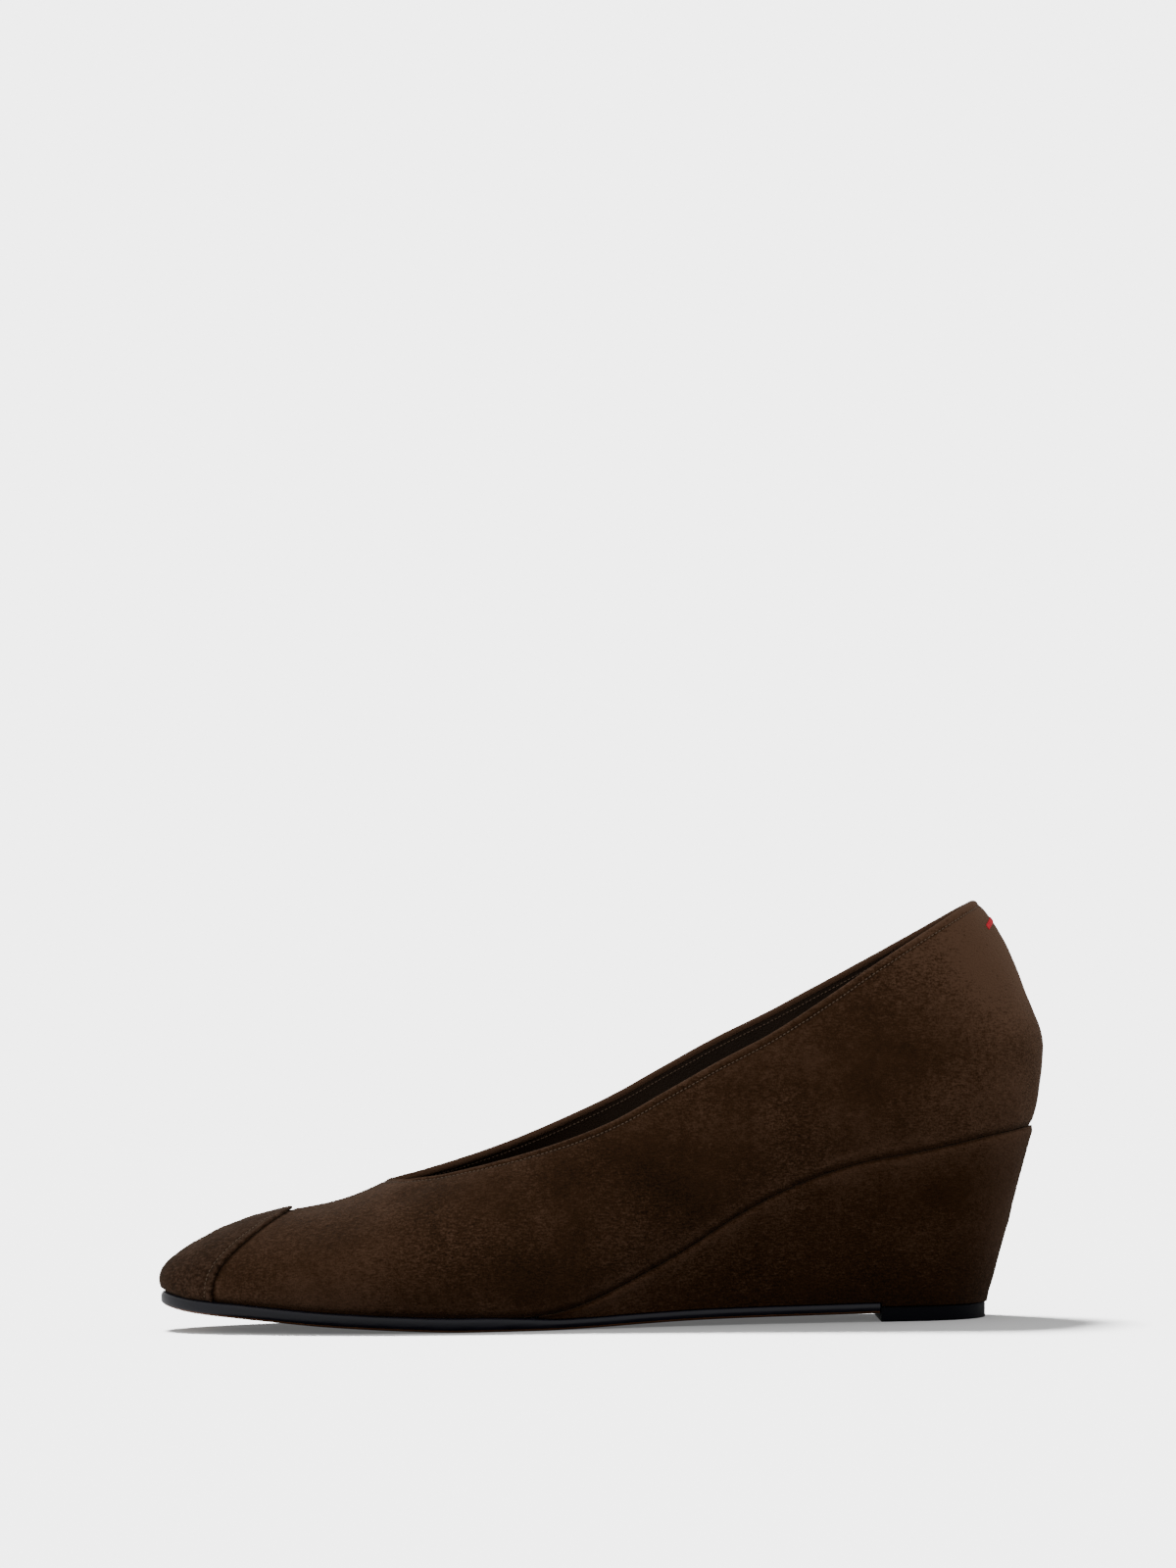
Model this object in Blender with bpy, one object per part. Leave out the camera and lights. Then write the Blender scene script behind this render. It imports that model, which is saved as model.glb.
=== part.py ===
"""Left wedge pump: a low-cut suede upper with a lapped toe cap, on a covered wedge and a thin sole.

The shoe stands on z = 0 with its toe towards -X and its outer (lateral) side towards -Y.
Every surface is read from one last: `last_point` gives the outside of the upper at any station
along the shoe and at any level from the feather edge (where the upper meets the sole) to the crest.
"""

import math
from collections import namedtuple

import bmesh
import bpy
import numpy as np

MM = 0.001

# Lengths and widths of the last
LAST_LENGTH = 243.6 * MM        # feather edge, toe to heel, along the shoe
FEATHER_FRONT = -122.6 * MM     # where the feather edge starts, with the shoe centred on X
CENTRE_LINE_Y = 2.5 * MM        # the last's centre line lies this far inwards of the shoe's middle
BALL_WIDTH = 78.5 * MM          # feather edge across the ball
TOE_ROUND = 62.0 * MM           # length of the almond toe's curve in plan
HEEL_ROUND = 30.0 * MM          # length of the heel seat's curve in plan
NOSE_SWELL = 1.3 * MM           # how far the toe stands out over its feather edge

# Heights
TOE_SPRING = 7.2 * MM           # the sole's lift off the floor at the toe
HEEL_RISE = 50.3 * MM           # the last's seat above the thin sole under the waist
VAMP_HEIGHT = 37.2 * MM         # crest above the feather edge at the throat
BACK_HEIGHT = 63.8 * MM         # topline above the seat at the back seam
MEDIAL_RAISE = 6.6 * MM         # the inner topline stands this much above the outer one
SHANK_LIFT = 2.4 * MM           # the sole's lift off the floor in front of the top piece
TOP_PIECE_HEIGHT = 4.1 * MM

# Walls and layers
WALL = 2.0 * MM                 # suede, stiffener and lining together
CAP_THICKNESS = 0.8 * MM        # the toe cap's suede
SOLE_THICKNESS = 3.7 * MM       # outsole under the forefoot
SHANK_THICKNESS = 2.8 * MM      # outsole under the wedge
INSOLE_THICKNESS = 2.2 * MM
GAP = 0.3 * MM                  # between pieces that touch
WELD = 0.02 * MM                # points closer than this are one

# Places along the shoe, from the toe's feather edge
THROAT_AT = 63.8 * MM           # front of the opening
WEDGE_AT = 104.0 * MM           # front edge of the wedge
CAP_CREST_AT = 35.5 * MM        # rear edge of the toe cap on the crest
CAP_SIDE_AT = 14.3 * MM         # rear edge of the toe cap at the feather edge
CAP_CURVE = 3.0                 # how late that edge turns back as it climbs

# Edges of the sole, wedge and top piece
SOLE_MARGIN = 1.7 * MM          # the forefoot sole's edge beyond the feather edge
BREAST_X = 76.8 * MM            # the sole's end, from the middle of the shoe
SHANK_MARGIN = 0.4 * MM         # the sole's edge beyond the wedge's foot
SOLE_BEVEL = 0.7 * MM
INSOLE_BEVEL = 0.5 * MM
TOP_PIECE_BEVEL = 0.3 * MM
WEDGE_PROUD = 0.5 * MM          # the wedge's top edge beyond the feather edge
WEDGE_ROUND = 1.1 * MM          # rounding of the covered wedge's top edge
WEDGE_TAPER = 4.5 * MM          # each side, where the wedge is tallest
BACK_TAPER = 13.1 * MM          # the wedge's back line leans in by this much
WEDGE_NOSE = 0.4 * MM           # thickness of the wedge's front edge
TOP_PIECE_INSET = 0.6 * MM      # the top piece lies inside the wedge's foot

# How far the heel's and the toe's own curves reach along the shoe
HEEL_FADE = 60.0 * MM
NOSE_FADE = 30.0 * MM

# Half widths are shares of BALL_WIDTH, before the ends are rounded off. Belly is the widest line
# of the upper: `out` is a share of BALL_WIDTH and `up` of VAMP_HEIGHT, both from the feather edge.
# The crest stands above the belly by `vamp` shares of VAMP_HEIGHT and `cone` of BACK_HEIGHT.
Section = namedtuple("Section", "station lateral medial out up vamp cone inward")
SECTIONS = [
    Section(0.00, 0.385, 0.370, 0.022, 0.080, 0.500, 0.00, 0.000),
    Section(0.06, 0.405, 0.385, 0.026, 0.120, 0.572, 0.00, 0.004),
    Section(0.12, 0.435, 0.405, 0.030, 0.160, 0.592, 0.00, 0.010),
    Section(0.19, 0.482, 0.440, 0.030, 0.190, 0.613, 0.00, 0.018),
    Section(0.225, 0.502, 0.455, 0.029, 0.200, 0.676, 0.00, 0.024),
    Section(0.26, 0.520, 0.466, 0.028, 0.210, 0.772, 0.00, 0.030),
    Section(0.33, 0.535, 0.464, 0.024, 0.220, 0.985, 0.00, 0.038),
    Section(0.40, 0.520, 0.438, 0.022, 0.230, 1.200, 0.03, 0.040),
    Section(0.48, 0.470, 0.378, 0.026, 0.270, 1.300, 0.15, 0.036),
    Section(0.56, 0.412, 0.330, 0.032, 0.340, 1.100, 0.35, 0.030),
    Section(0.65, 0.372, 0.316, 0.036, 0.420, 0.700, 0.62, 0.022),
    Section(0.74, 0.358, 0.326, 0.040, 0.500, 0.350, 0.78, 0.012),
    Section(0.83, 0.352, 0.336, 0.044, 0.560, 0.100, 0.88, 0.006),
    Section(0.91, 0.346, 0.340, 0.048, 0.600, 0.000, 0.90, 0.002),
    Section(1.00, 0.340, 0.338, 0.052, 0.620, 0.000, 0.90, 0.000),
]

# The seat line behind the ball, as shares of HEEL_RISE.
SeatRow = namedtuple("SeatRow", "station rise")
SEAT = [
    SeatRow(0.40, 0.000), SeatRow(0.42, 0.006), SeatRow(0.46, 0.045), SeatRow(0.50, 0.117),
    SeatRow(0.55, 0.237), SeatRow(0.60, 0.370), SeatRow(0.65, 0.520), SeatRow(0.70, 0.650),
    SeatRow(0.75, 0.749), SeatRow(0.80, 0.821), SeatRow(0.85, 0.863), SeatRow(0.90, 0.908),
    SeatRow(0.95, 0.957), SeatRow(1.00, 1.000),
]

# The sole's underside over the floor: `toe` is a share of TOE_SPRING, `shank` of SHANK_LIFT.
# Both are nothing under the ball, where the sole lies flat.
SoleRow = namedtuple("SoleRow", "station toe shank")
SOLE = [
    SoleRow(0.00, 1.000, 0.00), SoleRow(0.02, 0.830, 0.00), SoleRow(0.045, 0.700, 0.00),
    SoleRow(0.09, 0.555, 0.00), SoleRow(0.135, 0.415, 0.00), SoleRow(0.18, 0.280, 0.00),
    SoleRow(0.23, 0.170, 0.00), SoleRow(0.28, 0.080, 0.00), SoleRow(0.32, 0.020, 0.00),
    SoleRow(0.345, 0.000, 0.00), SoleRow(0.36, 0.000, 0.00), SoleRow(0.42, 0.000, 0.00),
    SoleRow(0.445, 0.000, 0.00), SoleRow(0.50, 0.000, 0.18), SoleRow(0.55, 0.000, 0.43),
    SoleRow(0.60, 0.000, 0.64), SoleRow(0.66, 0.000, 0.78), SoleRow(0.77, 0.000, 0.93),
    SoleRow(0.83, 0.000, 1.00), SoleRow(1.00, 0.000, 1.00),
]

# The topline seen from the side: how far it has climbed from the throat to the back seam, and
# the share of MEDIAL_RAISE that the inner side has there.
ToplineRow = namedtuple("ToplineRow", "station climb raised")
TOPLINE = [
    ToplineRow(0.262, 0.000, 0.00), ToplineRow(0.29, 0.005, 0.20), ToplineRow(0.34, 0.034, 0.40),
    ToplineRow(0.40, 0.081, 0.62), ToplineRow(0.46, 0.138, 0.86), ToplineRow(0.52, 0.212, 1.00),
    ToplineRow(0.58, 0.316, 1.00), ToplineRow(0.64, 0.420, 0.97), ToplineRow(0.70, 0.518, 0.88),
    ToplineRow(0.76, 0.638, 0.64), ToplineRow(0.82, 0.765, 0.34), ToplineRow(0.88, 0.886, 0.14),
    ToplineRow(0.94, 1.001, 0.00), ToplineRow(1.00, 1.090, 0.00),
]

# The back seam seen from the side, from the seat upwards, both as shares of BACK_HEIGHT.
BackRow = namedtuple("BackRow", "height lean")
BACK = [
    BackRow(0.00, 0.000), BackRow(0.06, 0.022), BackRow(0.18, 0.047), BackRow(0.34, 0.065),
    BackRow(0.43, 0.053), BackRow(0.50, 0.023), BackRow(0.58, -0.008), BackRow(0.68, -0.042),
    BackRow(0.78, -0.082), BackRow(0.88, -0.136), BackRow(0.95, -0.185), BackRow(1.00, -0.232),
    BackRow(1.20, -0.390),
]

# Mesh counts
TOE_STEPS = 11
VAMP_STEPS = 3
THROAT_STEPS = 9
QUARTER_STEPS = 12
HEEL_STEPS = 8
BELLY_STEPS = 3
WALL_STEPS = 9
SIDE_STEPS = 4

LATERAL = -1
MEDIAL = 1
BELLY = 1.0                     # level of the widest line
CREST = 2.0                     # level of the centre line on top


def clear_scene():
    for item in list(bpy.data.objects):
        bpy.data.objects.remove(item)


def smooth(table, column, at):
    """A column of a table, read between its rows on one smooth curve."""
    keys = [row[0] for row in table]
    values = [getattr(row, column) for row in table]
    at = min(max(at, keys[0]), keys[-1])
    n = len(keys)
    i = min(max(int(np.searchsorted(keys, at, side="right")) - 1, 0), n - 2)

    def slope(k):
        low, high = max(k - 1, 0), min(k + 1, n - 1)
        return (values[high] - values[low]) / (keys[high] - keys[low])

    span = keys[i + 1] - keys[i]
    u = (at - keys[i]) / span
    return (
        values[i] * (1 + 2 * u) * (1 - u) ** 2
        + slope(i) * span * u * (1 - u) ** 2
        + values[i + 1] * u * u * (3 - 2 * u)
        + slope(i + 1) * span * u * u * (u - 1)
    )


def ease(value, start, end):
    """0 before start, 1 after end, and a smooth step between."""
    u = min(max((value - start) / (end - start), 0.0), 1.0)
    return u * u * (3 - 2 * u)


def station_x(station):
    return FEATHER_FRONT + station * LAST_LENGTH


def x_station(x):
    return (x - FEATHER_FRONT) / LAST_LENGTH


def round_toe(station):
    """Half width of the rounded toe as a share of the full one."""
    u = min(station * LAST_LENGTH / TOE_ROUND, 1.0)
    return math.sqrt(max(0.0, 1 - (1 - u) ** 2))


def round_heel(station):
    u = min((1 - station) * LAST_LENGTH / HEEL_ROUND, 1.0)
    return math.sqrt(max(0.0, 1 - (1 - u) ** 2))


def heel_fade(station):
    """How much of the heel's own curve shows at a station: 1 at the back seam."""
    return max(0.0, 1 - (1 - station) * LAST_LENGTH / HEEL_FADE) ** 2


def nose_fade(station):
    return max(0.0, 1 - station * LAST_LENGTH / NOSE_FADE) ** 2


def toe_lift(station):
    """Height of the sole's underside over the floor in front of the ball."""
    return TOE_SPRING * max(0.0, smooth(SOLE, "toe", station))


def shank_lift(station):
    """Height of the sole's underside over the floor behind the ball."""
    return SHANK_LIFT * max(0.0, smooth(SOLE, "shank", station))


def feather_z(station):
    """Height of the feather edge."""
    ball = toe_lift(station) + sole_thickness(station) + GAP
    return ball + HEEL_RISE * smooth(SEAT, "rise", station)


def feather_half(side, station):
    column = "lateral" if side == LATERAL else "medial"
    share = smooth(SECTIONS, column, station)
    return share * BALL_WIDTH * round_toe(station) * round_heel(station)


def belly_up(station):
    return smooth(SECTIONS, "up", station) * VAMP_HEIGHT


def crest_rise(station):
    """Height of the crest above the belly."""
    vamp = smooth(SECTIONS, "vamp", station) * VAMP_HEIGHT
    cone = smooth(SECTIONS, "cone", station) * BACK_HEIGHT
    return (vamp + cone) * round_toe(station)


def last_point(side, station, level):
    """A point of the upper's outside: level 0 is the feather edge, 1 the belly and 2 the crest."""
    ends = round_toe(station) * round_heel(station)
    below = min(level, BELLY)
    arc = max(level - BELLY, 0.0) * math.pi / 2
    swell = 1 - (1 - below) ** 2
    edge = feather_half(side, station)
    edge += smooth(SECTIONS, "out", station) * BALL_WIDTH * swell * ends
    crest_y = smooth(SECTIONS, "inward", station) * BALL_WIDTH * ends
    y = crest_y + (side * edge - crest_y) * math.cos(arc)
    rise = belly_up(station) * below + crest_rise(station) * math.sin(arc)
    lean = smooth(BACK, "lean", rise / BACK_HEIGHT) * BACK_HEIGHT
    x = station_x(station) - NOSE_SWELL * swell * nose_fade(station) + lean * heel_fade(station)
    return np.array((x, y, feather_z(station) + rise))


def topline_z(side, x):
    """Height of the topline at x, seen from the side."""
    throat = THROAT_AT / LAST_LENGTH
    low = last_point(side, throat, CREST)[2]
    high = feather_z(1.0) + BACK_HEIGHT
    station = x_station(x)
    rise = smooth(TOPLINE, "climb", station) * (high - low)
    if side == MEDIAL:
        rise += smooth(TOPLINE, "raised", station) * MEDIAL_RAISE
    return low + rise


def solve(height, low, high):
    """The value between low and high where a rising function passes zero."""
    for _ in range(40):
        middle = (low + high) / 2
        if height(middle) > 0:
            high = middle
        else:
            low = middle
    return (low + high) / 2


def top_level(side, station):
    """The level at which the topline cuts the last."""
    if station <= THROAT_AT / LAST_LENGTH:
        return CREST

    def above(level):
        point = last_point(side, station, level)
        return point[2] - topline_z(side, point[0])

    return solve(above, BELLY, CREST)


def cap_station(side, level):
    """The station at which the toe cap's rear edge crosses a level."""

    def behind(station):
        x, _, z = last_point(side, station, level)
        rise = belly_up(station) + crest_rise(station)
        height = (z - feather_z(station)) / rise
        edge = CAP_SIDE_AT + (CAP_CREST_AT - CAP_SIDE_AT) * height ** CAP_CURVE
        return x - (FEATHER_FRONT + edge)

    return solve(behind, 0.0, 2 * CAP_CREST_AT / LAST_LENGTH)


def upper_stations():
    """Stations that stand close together where the toe, the throat and the heel curve."""
    toe = TOE_ROUND / LAST_LENGTH
    throat = THROAT_AT / LAST_LENGTH
    waist = throat + 0.5 * toe
    heel = 1 - HEEL_ROUND / LAST_LENGTH
    quarter = [toe * (1 - math.cos(math.pi / 2 * k / TOE_STEPS)) for k in range(TOE_STEPS)]
    quarter += [toe + (throat - toe) * k / VAMP_STEPS for k in range(VAMP_STEPS)]
    quarter += [throat + (waist - throat) * (k / THROAT_STEPS) ** 2 for k in range(THROAT_STEPS)]
    quarter += [waist + (heel - waist) * k / QUARTER_STEPS for k in range(QUARTER_STEPS)]
    quarter += [
        heel + (1 - heel) * math.sin(math.pi / 2 * k / HEEL_STEPS) for k in range(HEEL_STEPS + 1)
    ]
    return quarter


def rail(top):
    """Levels from the feather edge to the level top."""
    low = [BELLY * (k / BELLY_STEPS) ** 1.5 for k in range(BELLY_STEPS)]
    high = [BELLY + (top - BELLY) * k / WALL_STEPS for k in range(WALL_STEPS + 1)]
    return low + high


def add_object(name, mesh, finish):
    """Makes a named object of a finished bmesh."""
    bmesh.ops.triangulate(mesh, faces=mesh.faces)
    bmesh.ops.recalc_face_normals(mesh, faces=mesh.faces)
    bmesh.ops.translate(mesh, verts=mesh.verts, vec=(0.0, CENTRE_LINE_Y, 0.0))
    data = bpy.data.meshes.new(name)
    mesh.to_mesh(data)
    mesh.free()
    data.shade_smooth()
    data.set_sharp_from_angle(angle=math.radians(35))
    data.materials.append(finish)
    item = bpy.data.objects.new(name, data)
    bpy.context.scene.collection.objects.link(item)
    return item


def finish_of(name, colour, roughness, metallic=0.0):
    finish = bpy.data.materials.new(name)
    finish.use_nodes = True
    shader = finish.node_tree.nodes["Principled BSDF"]
    shader.inputs["Base Color"].default_value = (*colour, 1.0)
    shader.inputs["Roughness"].default_value = roughness
    shader.inputs["Metallic"].default_value = metallic
    return finish


def half_sheets(grids):
    """One sheet of two grids of points, lateral and medial, joined wherever they meet. The
    vertices of its foot are marked."""
    mesh = bmesh.new()
    foot = mesh.verts.layers.int.new("foot")
    for side, grid in grids:
        rows = [[mesh.verts.new(point) for point in row] for row in grid]
        for row in rows:
            row[0][foot] = 1
        for a, b in zip(rows, rows[1:]):
            for k in range(len(a) - 1):
                corners = [a[k], b[k], b[k + 1], a[k + 1]]
                mesh.faces.new(corners if side == LATERAL else corners[::-1])
    bmesh.ops.remove_doubles(mesh, verts=mesh.verts, dist=WELD)
    mesh.normal_update()
    return mesh


def layer(name, grids, low, high, finish):
    """A shell that lies between two distances from a sheet, with its foot kept level."""
    sheet = half_sheets(grids)
    foot = sheet.verts.layers.int["foot"]
    mesh = bmesh.new()
    inner, outer = {}, {}
    for vertex in sheet.verts:
        normal = vertex.normal.copy()
        if vertex[foot]:
            normal.z = 0.0
            normal.normalize()
        inner[vertex] = mesh.verts.new(vertex.co + normal * low)
        outer[vertex] = mesh.verts.new(vertex.co + normal * high)
    for face in sheet.faces:
        mesh.faces.new([outer[v] for v in face.verts])
        mesh.faces.new([inner[v] for v in reversed(face.verts)])
    for edge in sheet.edges:
        if edge.is_boundary:
            a, b = edge.verts
            mesh.faces.new([outer[a], outer[b], inner[b], inner[a]])
    sheet.free()
    return add_object(name, mesh, finish)


def make_upper(finish):
    grids = []
    for side in (LATERAL, MEDIAL):
        grid = [
            [last_point(side, station, level) for level in rail(top_level(side, station))]
            for station in upper_stations()
        ]
        grids.append((side, grid))
    return layer("upper", grids, -WALL, 0.0, finish)


def make_toe_cap(finish):
    """The cap is cut from the upper's own surface, one gap further out."""
    grids = []
    for side in (LATERAL, MEDIAL):
        ends = [(level, cap_station(side, level)) for level in rail(CREST)]
        grid = [
            [
                last_point(side, end * (1 - math.cos(math.pi / 2 * k / TOE_STEPS)), level)
                for level, end in ends
            ]
            for k in range(TOE_STEPS + 1)
        ]
        grids.append((side, grid))
    return layer("toe_cap", grids, GAP, GAP + CAP_THICKNESS, finish)


def offset_outline(points, distance):
    """Moves the points of an open line in plan sideways, to the left of its direction."""
    moved = []
    for k, point in enumerate(points):
        before = points[max(k - 1, 0)]
        after = points[min(k + 1, len(points) - 1)]
        along = np.array((after[0] - before[0], after[1] - before[1]))
        if k in (0, len(points) - 1) and abs(point[1]) < 1e-9:
            along = np.array((0.0, along[1]))
        along = along / np.linalg.norm(along)
        moved.append(np.array((point[0] - along[1] * distance, point[1] + along[0] * distance)))
    return moved


def side_outline(side, stations, distance, outline):
    """One side of an outline from the toe to the heel, moved outwards by a distance."""
    points = [np.array(outline(side, station)) for station in stations]
    return offset_outline(points, side * distance)


def feather_outline(side, station):
    return station_x(station), side * feather_half(side, station)


def sole_thickness(station):
    tip = WEDGE_AT / LAST_LENGTH
    thin = ease(station, tip - 0.06, tip + 0.04)
    return SOLE_THICKNESS + (SHANK_THICKNESS - SOLE_THICKNESS) * thin


def sole_top_z(station):
    return toe_lift(station) + shank_lift(station) + sole_thickness(station)


def wedge_foot_z(station):
    """The wedge stands on the sole, and behind the sole's end on the top piece."""
    if foot_x(station) > BREAST_X + 1.5 * GAP:
        return TOP_PIECE_HEIGHT + GAP
    return sole_top_z(station) + GAP


def wedge_height(station):
    """Height of the wedge between the sole and the feather edge."""
    return feather_z(station) - 2 * GAP - sole_top_z(station)


def foot_x(station):
    """The wedge's back leans in, so its foot is shorter than its top."""
    return station_x(station) - BACK_TAPER * heel_fade(station)


def foot_outline(side, station):
    """The wedge's foot in plan: its sides and back lean in where the wedge is tall."""
    tall = min(max(wedge_height(station), 0.0) / HEEL_RISE, 1.0)
    ends = round_heel(station)
    half = feather_half(side, station) - WEDGE_TAPER * tall * ends
    return foot_x(station), side * half


def sections_solid(name, loops, finish):
    """A solid through closed loops of points, each with as many points as the last."""
    mesh = bmesh.new()
    rows = [[mesh.verts.new(point) for point in loop] for loop in loops]
    for a, b in zip(rows, rows[1:]):
        for k in range(len(a)):
            j = (k + 1) % len(a)
            mesh.faces.new([a[k], b[k], b[j], a[j]])
    mesh.faces.new(rows[0])
    mesh.faces.new(rows[-1][::-1])
    bmesh.ops.remove_doubles(mesh, verts=mesh.verts, dist=WELD)
    bmesh.ops.dissolve_degenerate(mesh, dist=WELD / 2, edges=mesh.edges)
    return add_object(name, mesh, finish)


def plate_loop(left, right, low, high, bevel):
    """The section of a plate with bevelled edges, from one side's point to the other's."""
    across = right - left
    width = np.linalg.norm(across)
    inward = across / width * min(bevel, width / 4) if width > 1e-9 else across
    points = [
        (left + inward, high), (left, high - bevel), (left, low + bevel), (left + inward, low),
        (right - inward, low), (right, low + bevel), (right, high - bevel), (right - inward, high),
    ]
    return [(p[0], p[1], z) for p, z in points]


def plate_stations(first, last, steps):
    """Stations that gather towards both ends."""
    return [
        first + (last - first) * (1 - math.cos(math.pi * k / steps)) / 2 for k in range(steps + 1)
    ]


def make_insole(finish):
    stations = plate_stations(0.0, 1.0, 44)
    left = side_outline(LATERAL, stations, -WALL - GAP, feather_outline)
    right = side_outline(MEDIAL, stations, -WALL - GAP, feather_outline)
    loops = []
    for station, a, b in zip(stations, left, right):
        low = feather_z(station)
        loops.append(plate_loop(a, b, low, low + INSOLE_THICKNESS, INSOLE_BEVEL))
    return sections_solid("insole", loops, finish)


def sole_outline(side, station):
    """The sole follows the feather edge in front and the wedge's foot behind."""
    tip = WEDGE_AT / LAST_LENGTH
    behind = ease(station, tip - 0.08, tip + 0.08)
    front_x, front_y = feather_outline(side, station)
    back_x, back_y = foot_outline(side, station)
    return front_x + (back_x - front_x) * behind, front_y + (back_y - front_y) * behind


def foot_station(x):
    """The station at which the wedge's foot passes x."""
    return solve(lambda station: foot_x(station) - x, 0.6, 1.0)


def make_outsole(finish):
    tip = WEDGE_AT / LAST_LENGTH
    flat = min(row.station for row in SOLE if row.toe == 0.0)
    end = foot_station(BREAST_X)
    stations = [flat * (1 - math.cos(math.pi / 2 * k / 20)) for k in range(20)]
    stations += [flat + (tip - flat) * k / 4 for k in range(4)]
    stations += [tip + (end - tip) * k / 16 for k in range(17)]
    outlines = {}
    for side in (LATERAL, MEDIAL):
        points = [np.array(sole_outline(side, station)) for station in stations]
        outlines[side] = []
        for k, station in enumerate(stations):
            behind = ease(station, tip - 0.08, tip + 0.08)
            margin = SOLE_MARGIN + (SHANK_MARGIN - SOLE_MARGIN) * behind
            outlines[side].append(offset_outline(points, side * margin)[k])
    for side in (LATERAL, MEDIAL):
        outlines[side][-1][0] = BREAST_X
    loops = []
    for k, station in enumerate(stations):
        low = toe_lift(station) + shank_lift(station)
        high = low + sole_thickness(station)
        loops.append(plate_loop(outlines[LATERAL][k], outlines[MEDIAL][k], low, high, SOLE_BEVEL))
    return sections_solid("outsole", loops, finish)


def make_wedge(finish):
    """The covered wedge: its top follows the last's seat, its foot lies on the sole."""
    tip = solve(lambda station: wedge_height(station) - WEDGE_NOSE, 0.40, 0.7)
    step = [foot_station(BREAST_X + GAP * share) for share in (1, 2)]
    heel = 1 - HEEL_ROUND / LAST_LENGTH
    stations = [tip + (step[0] - tip) * k / 18 for k in range(18)] + step
    stations += [step[1] + (heel - step[1]) * k / 3 for k in (1, 2)]
    stations += [heel + (1 - heel) * math.sin(math.pi / 2 * k / 10) for k in range(11)]
    sides = {}
    for side in (LATERAL, MEDIAL):
        top = side_outline(side, stations, WEDGE_PROUD, feather_outline)
        foot = [np.array(foot_outline(side, station)) for station in stations]
        sides[side] = list(zip(top, foot))
    loops = []
    for k, station in enumerate(stations):
        high = feather_z(station) - GAP
        low = wedge_foot_z(station)
        rounding = min(WEDGE_ROUND, (high - low) / 3)
        loop = []
        for side in (LATERAL, MEDIAL):
            top, foot = sides[side][k]
            across = sides[-side][k][0] - top
            width = np.linalg.norm(across)
            inward = across / width * min(rounding, width / 4) if width > 1e-9 else across
            edge = [(top + inward, high), (top + inward * 0.3, high - rounding * 0.3)]
            for j in range(SIDE_STEPS + 1):
                down = j / SIDE_STEPS
                z = high - rounding - (high - rounding - low) * down
                edge.append((top + (foot - top) * down, z))
            loop += edge if side == LATERAL else edge[::-1]
        loops.append([(p[0], p[1], z) for p, z in loop])
    return sections_solid("wedge", loops, finish)


def make_top_piece(finish):
    """The heel's wearing piece, flat on the floor."""
    first = foot_station(BREAST_X + GAP)
    stations = [first + (1 - first) * math.sin(math.pi / 2 * k / 14) for k in range(15)]
    left = side_outline(LATERAL, stations, -TOP_PIECE_INSET, foot_outline)
    right = side_outline(MEDIAL, stations, -TOP_PIECE_INSET, foot_outline)
    left[0][0] = right[0][0] = BREAST_X + GAP
    loops = [plate_loop(a, b, 0.0, TOP_PIECE_HEIGHT, TOP_PIECE_BEVEL) for a, b in zip(left, right)]
    return sections_solid("top_piece", loops, finish)


def main():
    clear_scene()
    suede = finish_of("brown_suede", (0.036, 0.021, 0.013), 0.95)
    cap_suede = finish_of("toe_cap_suede", (0.030, 0.017, 0.010), 0.97)
    wedge_suede = finish_of("wedge_suede", (0.028, 0.016, 0.010), 0.95)
    lining = finish_of("insole_leather", (0.055, 0.030, 0.018), 0.6)
    edge = finish_of("sole_edge_black", (0.012, 0.012, 0.016), 0.4)
    rubber = finish_of("top_piece_rubber", (0.010, 0.010, 0.013), 0.55)
    make_upper(suede)
    make_toe_cap(cap_suede)
    make_insole(lining)
    make_outsole(edge)
    make_wedge(wedge_suede)
    make_top_piece(rubber)


main()
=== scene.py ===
"""Left wedge pump in dark brown suede: the finish of every piece, over its solids.

The skins are cut from the same last as the solids. `last_points` gives the outside of the upper
at any station along the shoe and at any level from the feather edge, where the upper meets the
sole, to the crest. The toe points towards -X and the outer side of the foot is at -Y.
"""

import functools
import math
from collections import namedtuple

import bmesh
import bpy
import numpy as np
from bpy.props import FloatProperty, FloatVectorProperty, IntProperty, PointerProperty
from mathutils import Matrix, Vector
from mathutils.bvhtree import BVHTree
from mathutils.kdtree import KDTree


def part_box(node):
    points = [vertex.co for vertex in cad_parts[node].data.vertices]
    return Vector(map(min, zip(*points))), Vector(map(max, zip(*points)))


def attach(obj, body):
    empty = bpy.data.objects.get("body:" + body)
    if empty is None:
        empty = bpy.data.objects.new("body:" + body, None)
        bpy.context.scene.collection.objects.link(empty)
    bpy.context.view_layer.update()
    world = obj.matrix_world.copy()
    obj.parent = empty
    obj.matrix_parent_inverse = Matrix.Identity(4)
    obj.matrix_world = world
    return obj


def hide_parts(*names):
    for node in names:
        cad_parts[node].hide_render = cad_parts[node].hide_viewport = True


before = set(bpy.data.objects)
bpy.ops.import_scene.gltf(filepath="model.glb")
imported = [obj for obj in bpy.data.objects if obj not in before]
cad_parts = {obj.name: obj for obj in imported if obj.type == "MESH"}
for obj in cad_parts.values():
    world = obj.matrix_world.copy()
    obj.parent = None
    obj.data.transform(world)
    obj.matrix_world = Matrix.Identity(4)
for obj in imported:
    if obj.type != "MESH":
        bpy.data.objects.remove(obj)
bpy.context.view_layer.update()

bl_info = {
    "name": "Wedge pump finish",
    "version": (1, 0, 0),
    "blender": (4, 5, 0),
    "location": "3D View > Sidebar > Wedge pump",
    "description": "Dresses the solid wedge pump in suede, lining, thread and rubber",
    "category": "Object",
}

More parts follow.
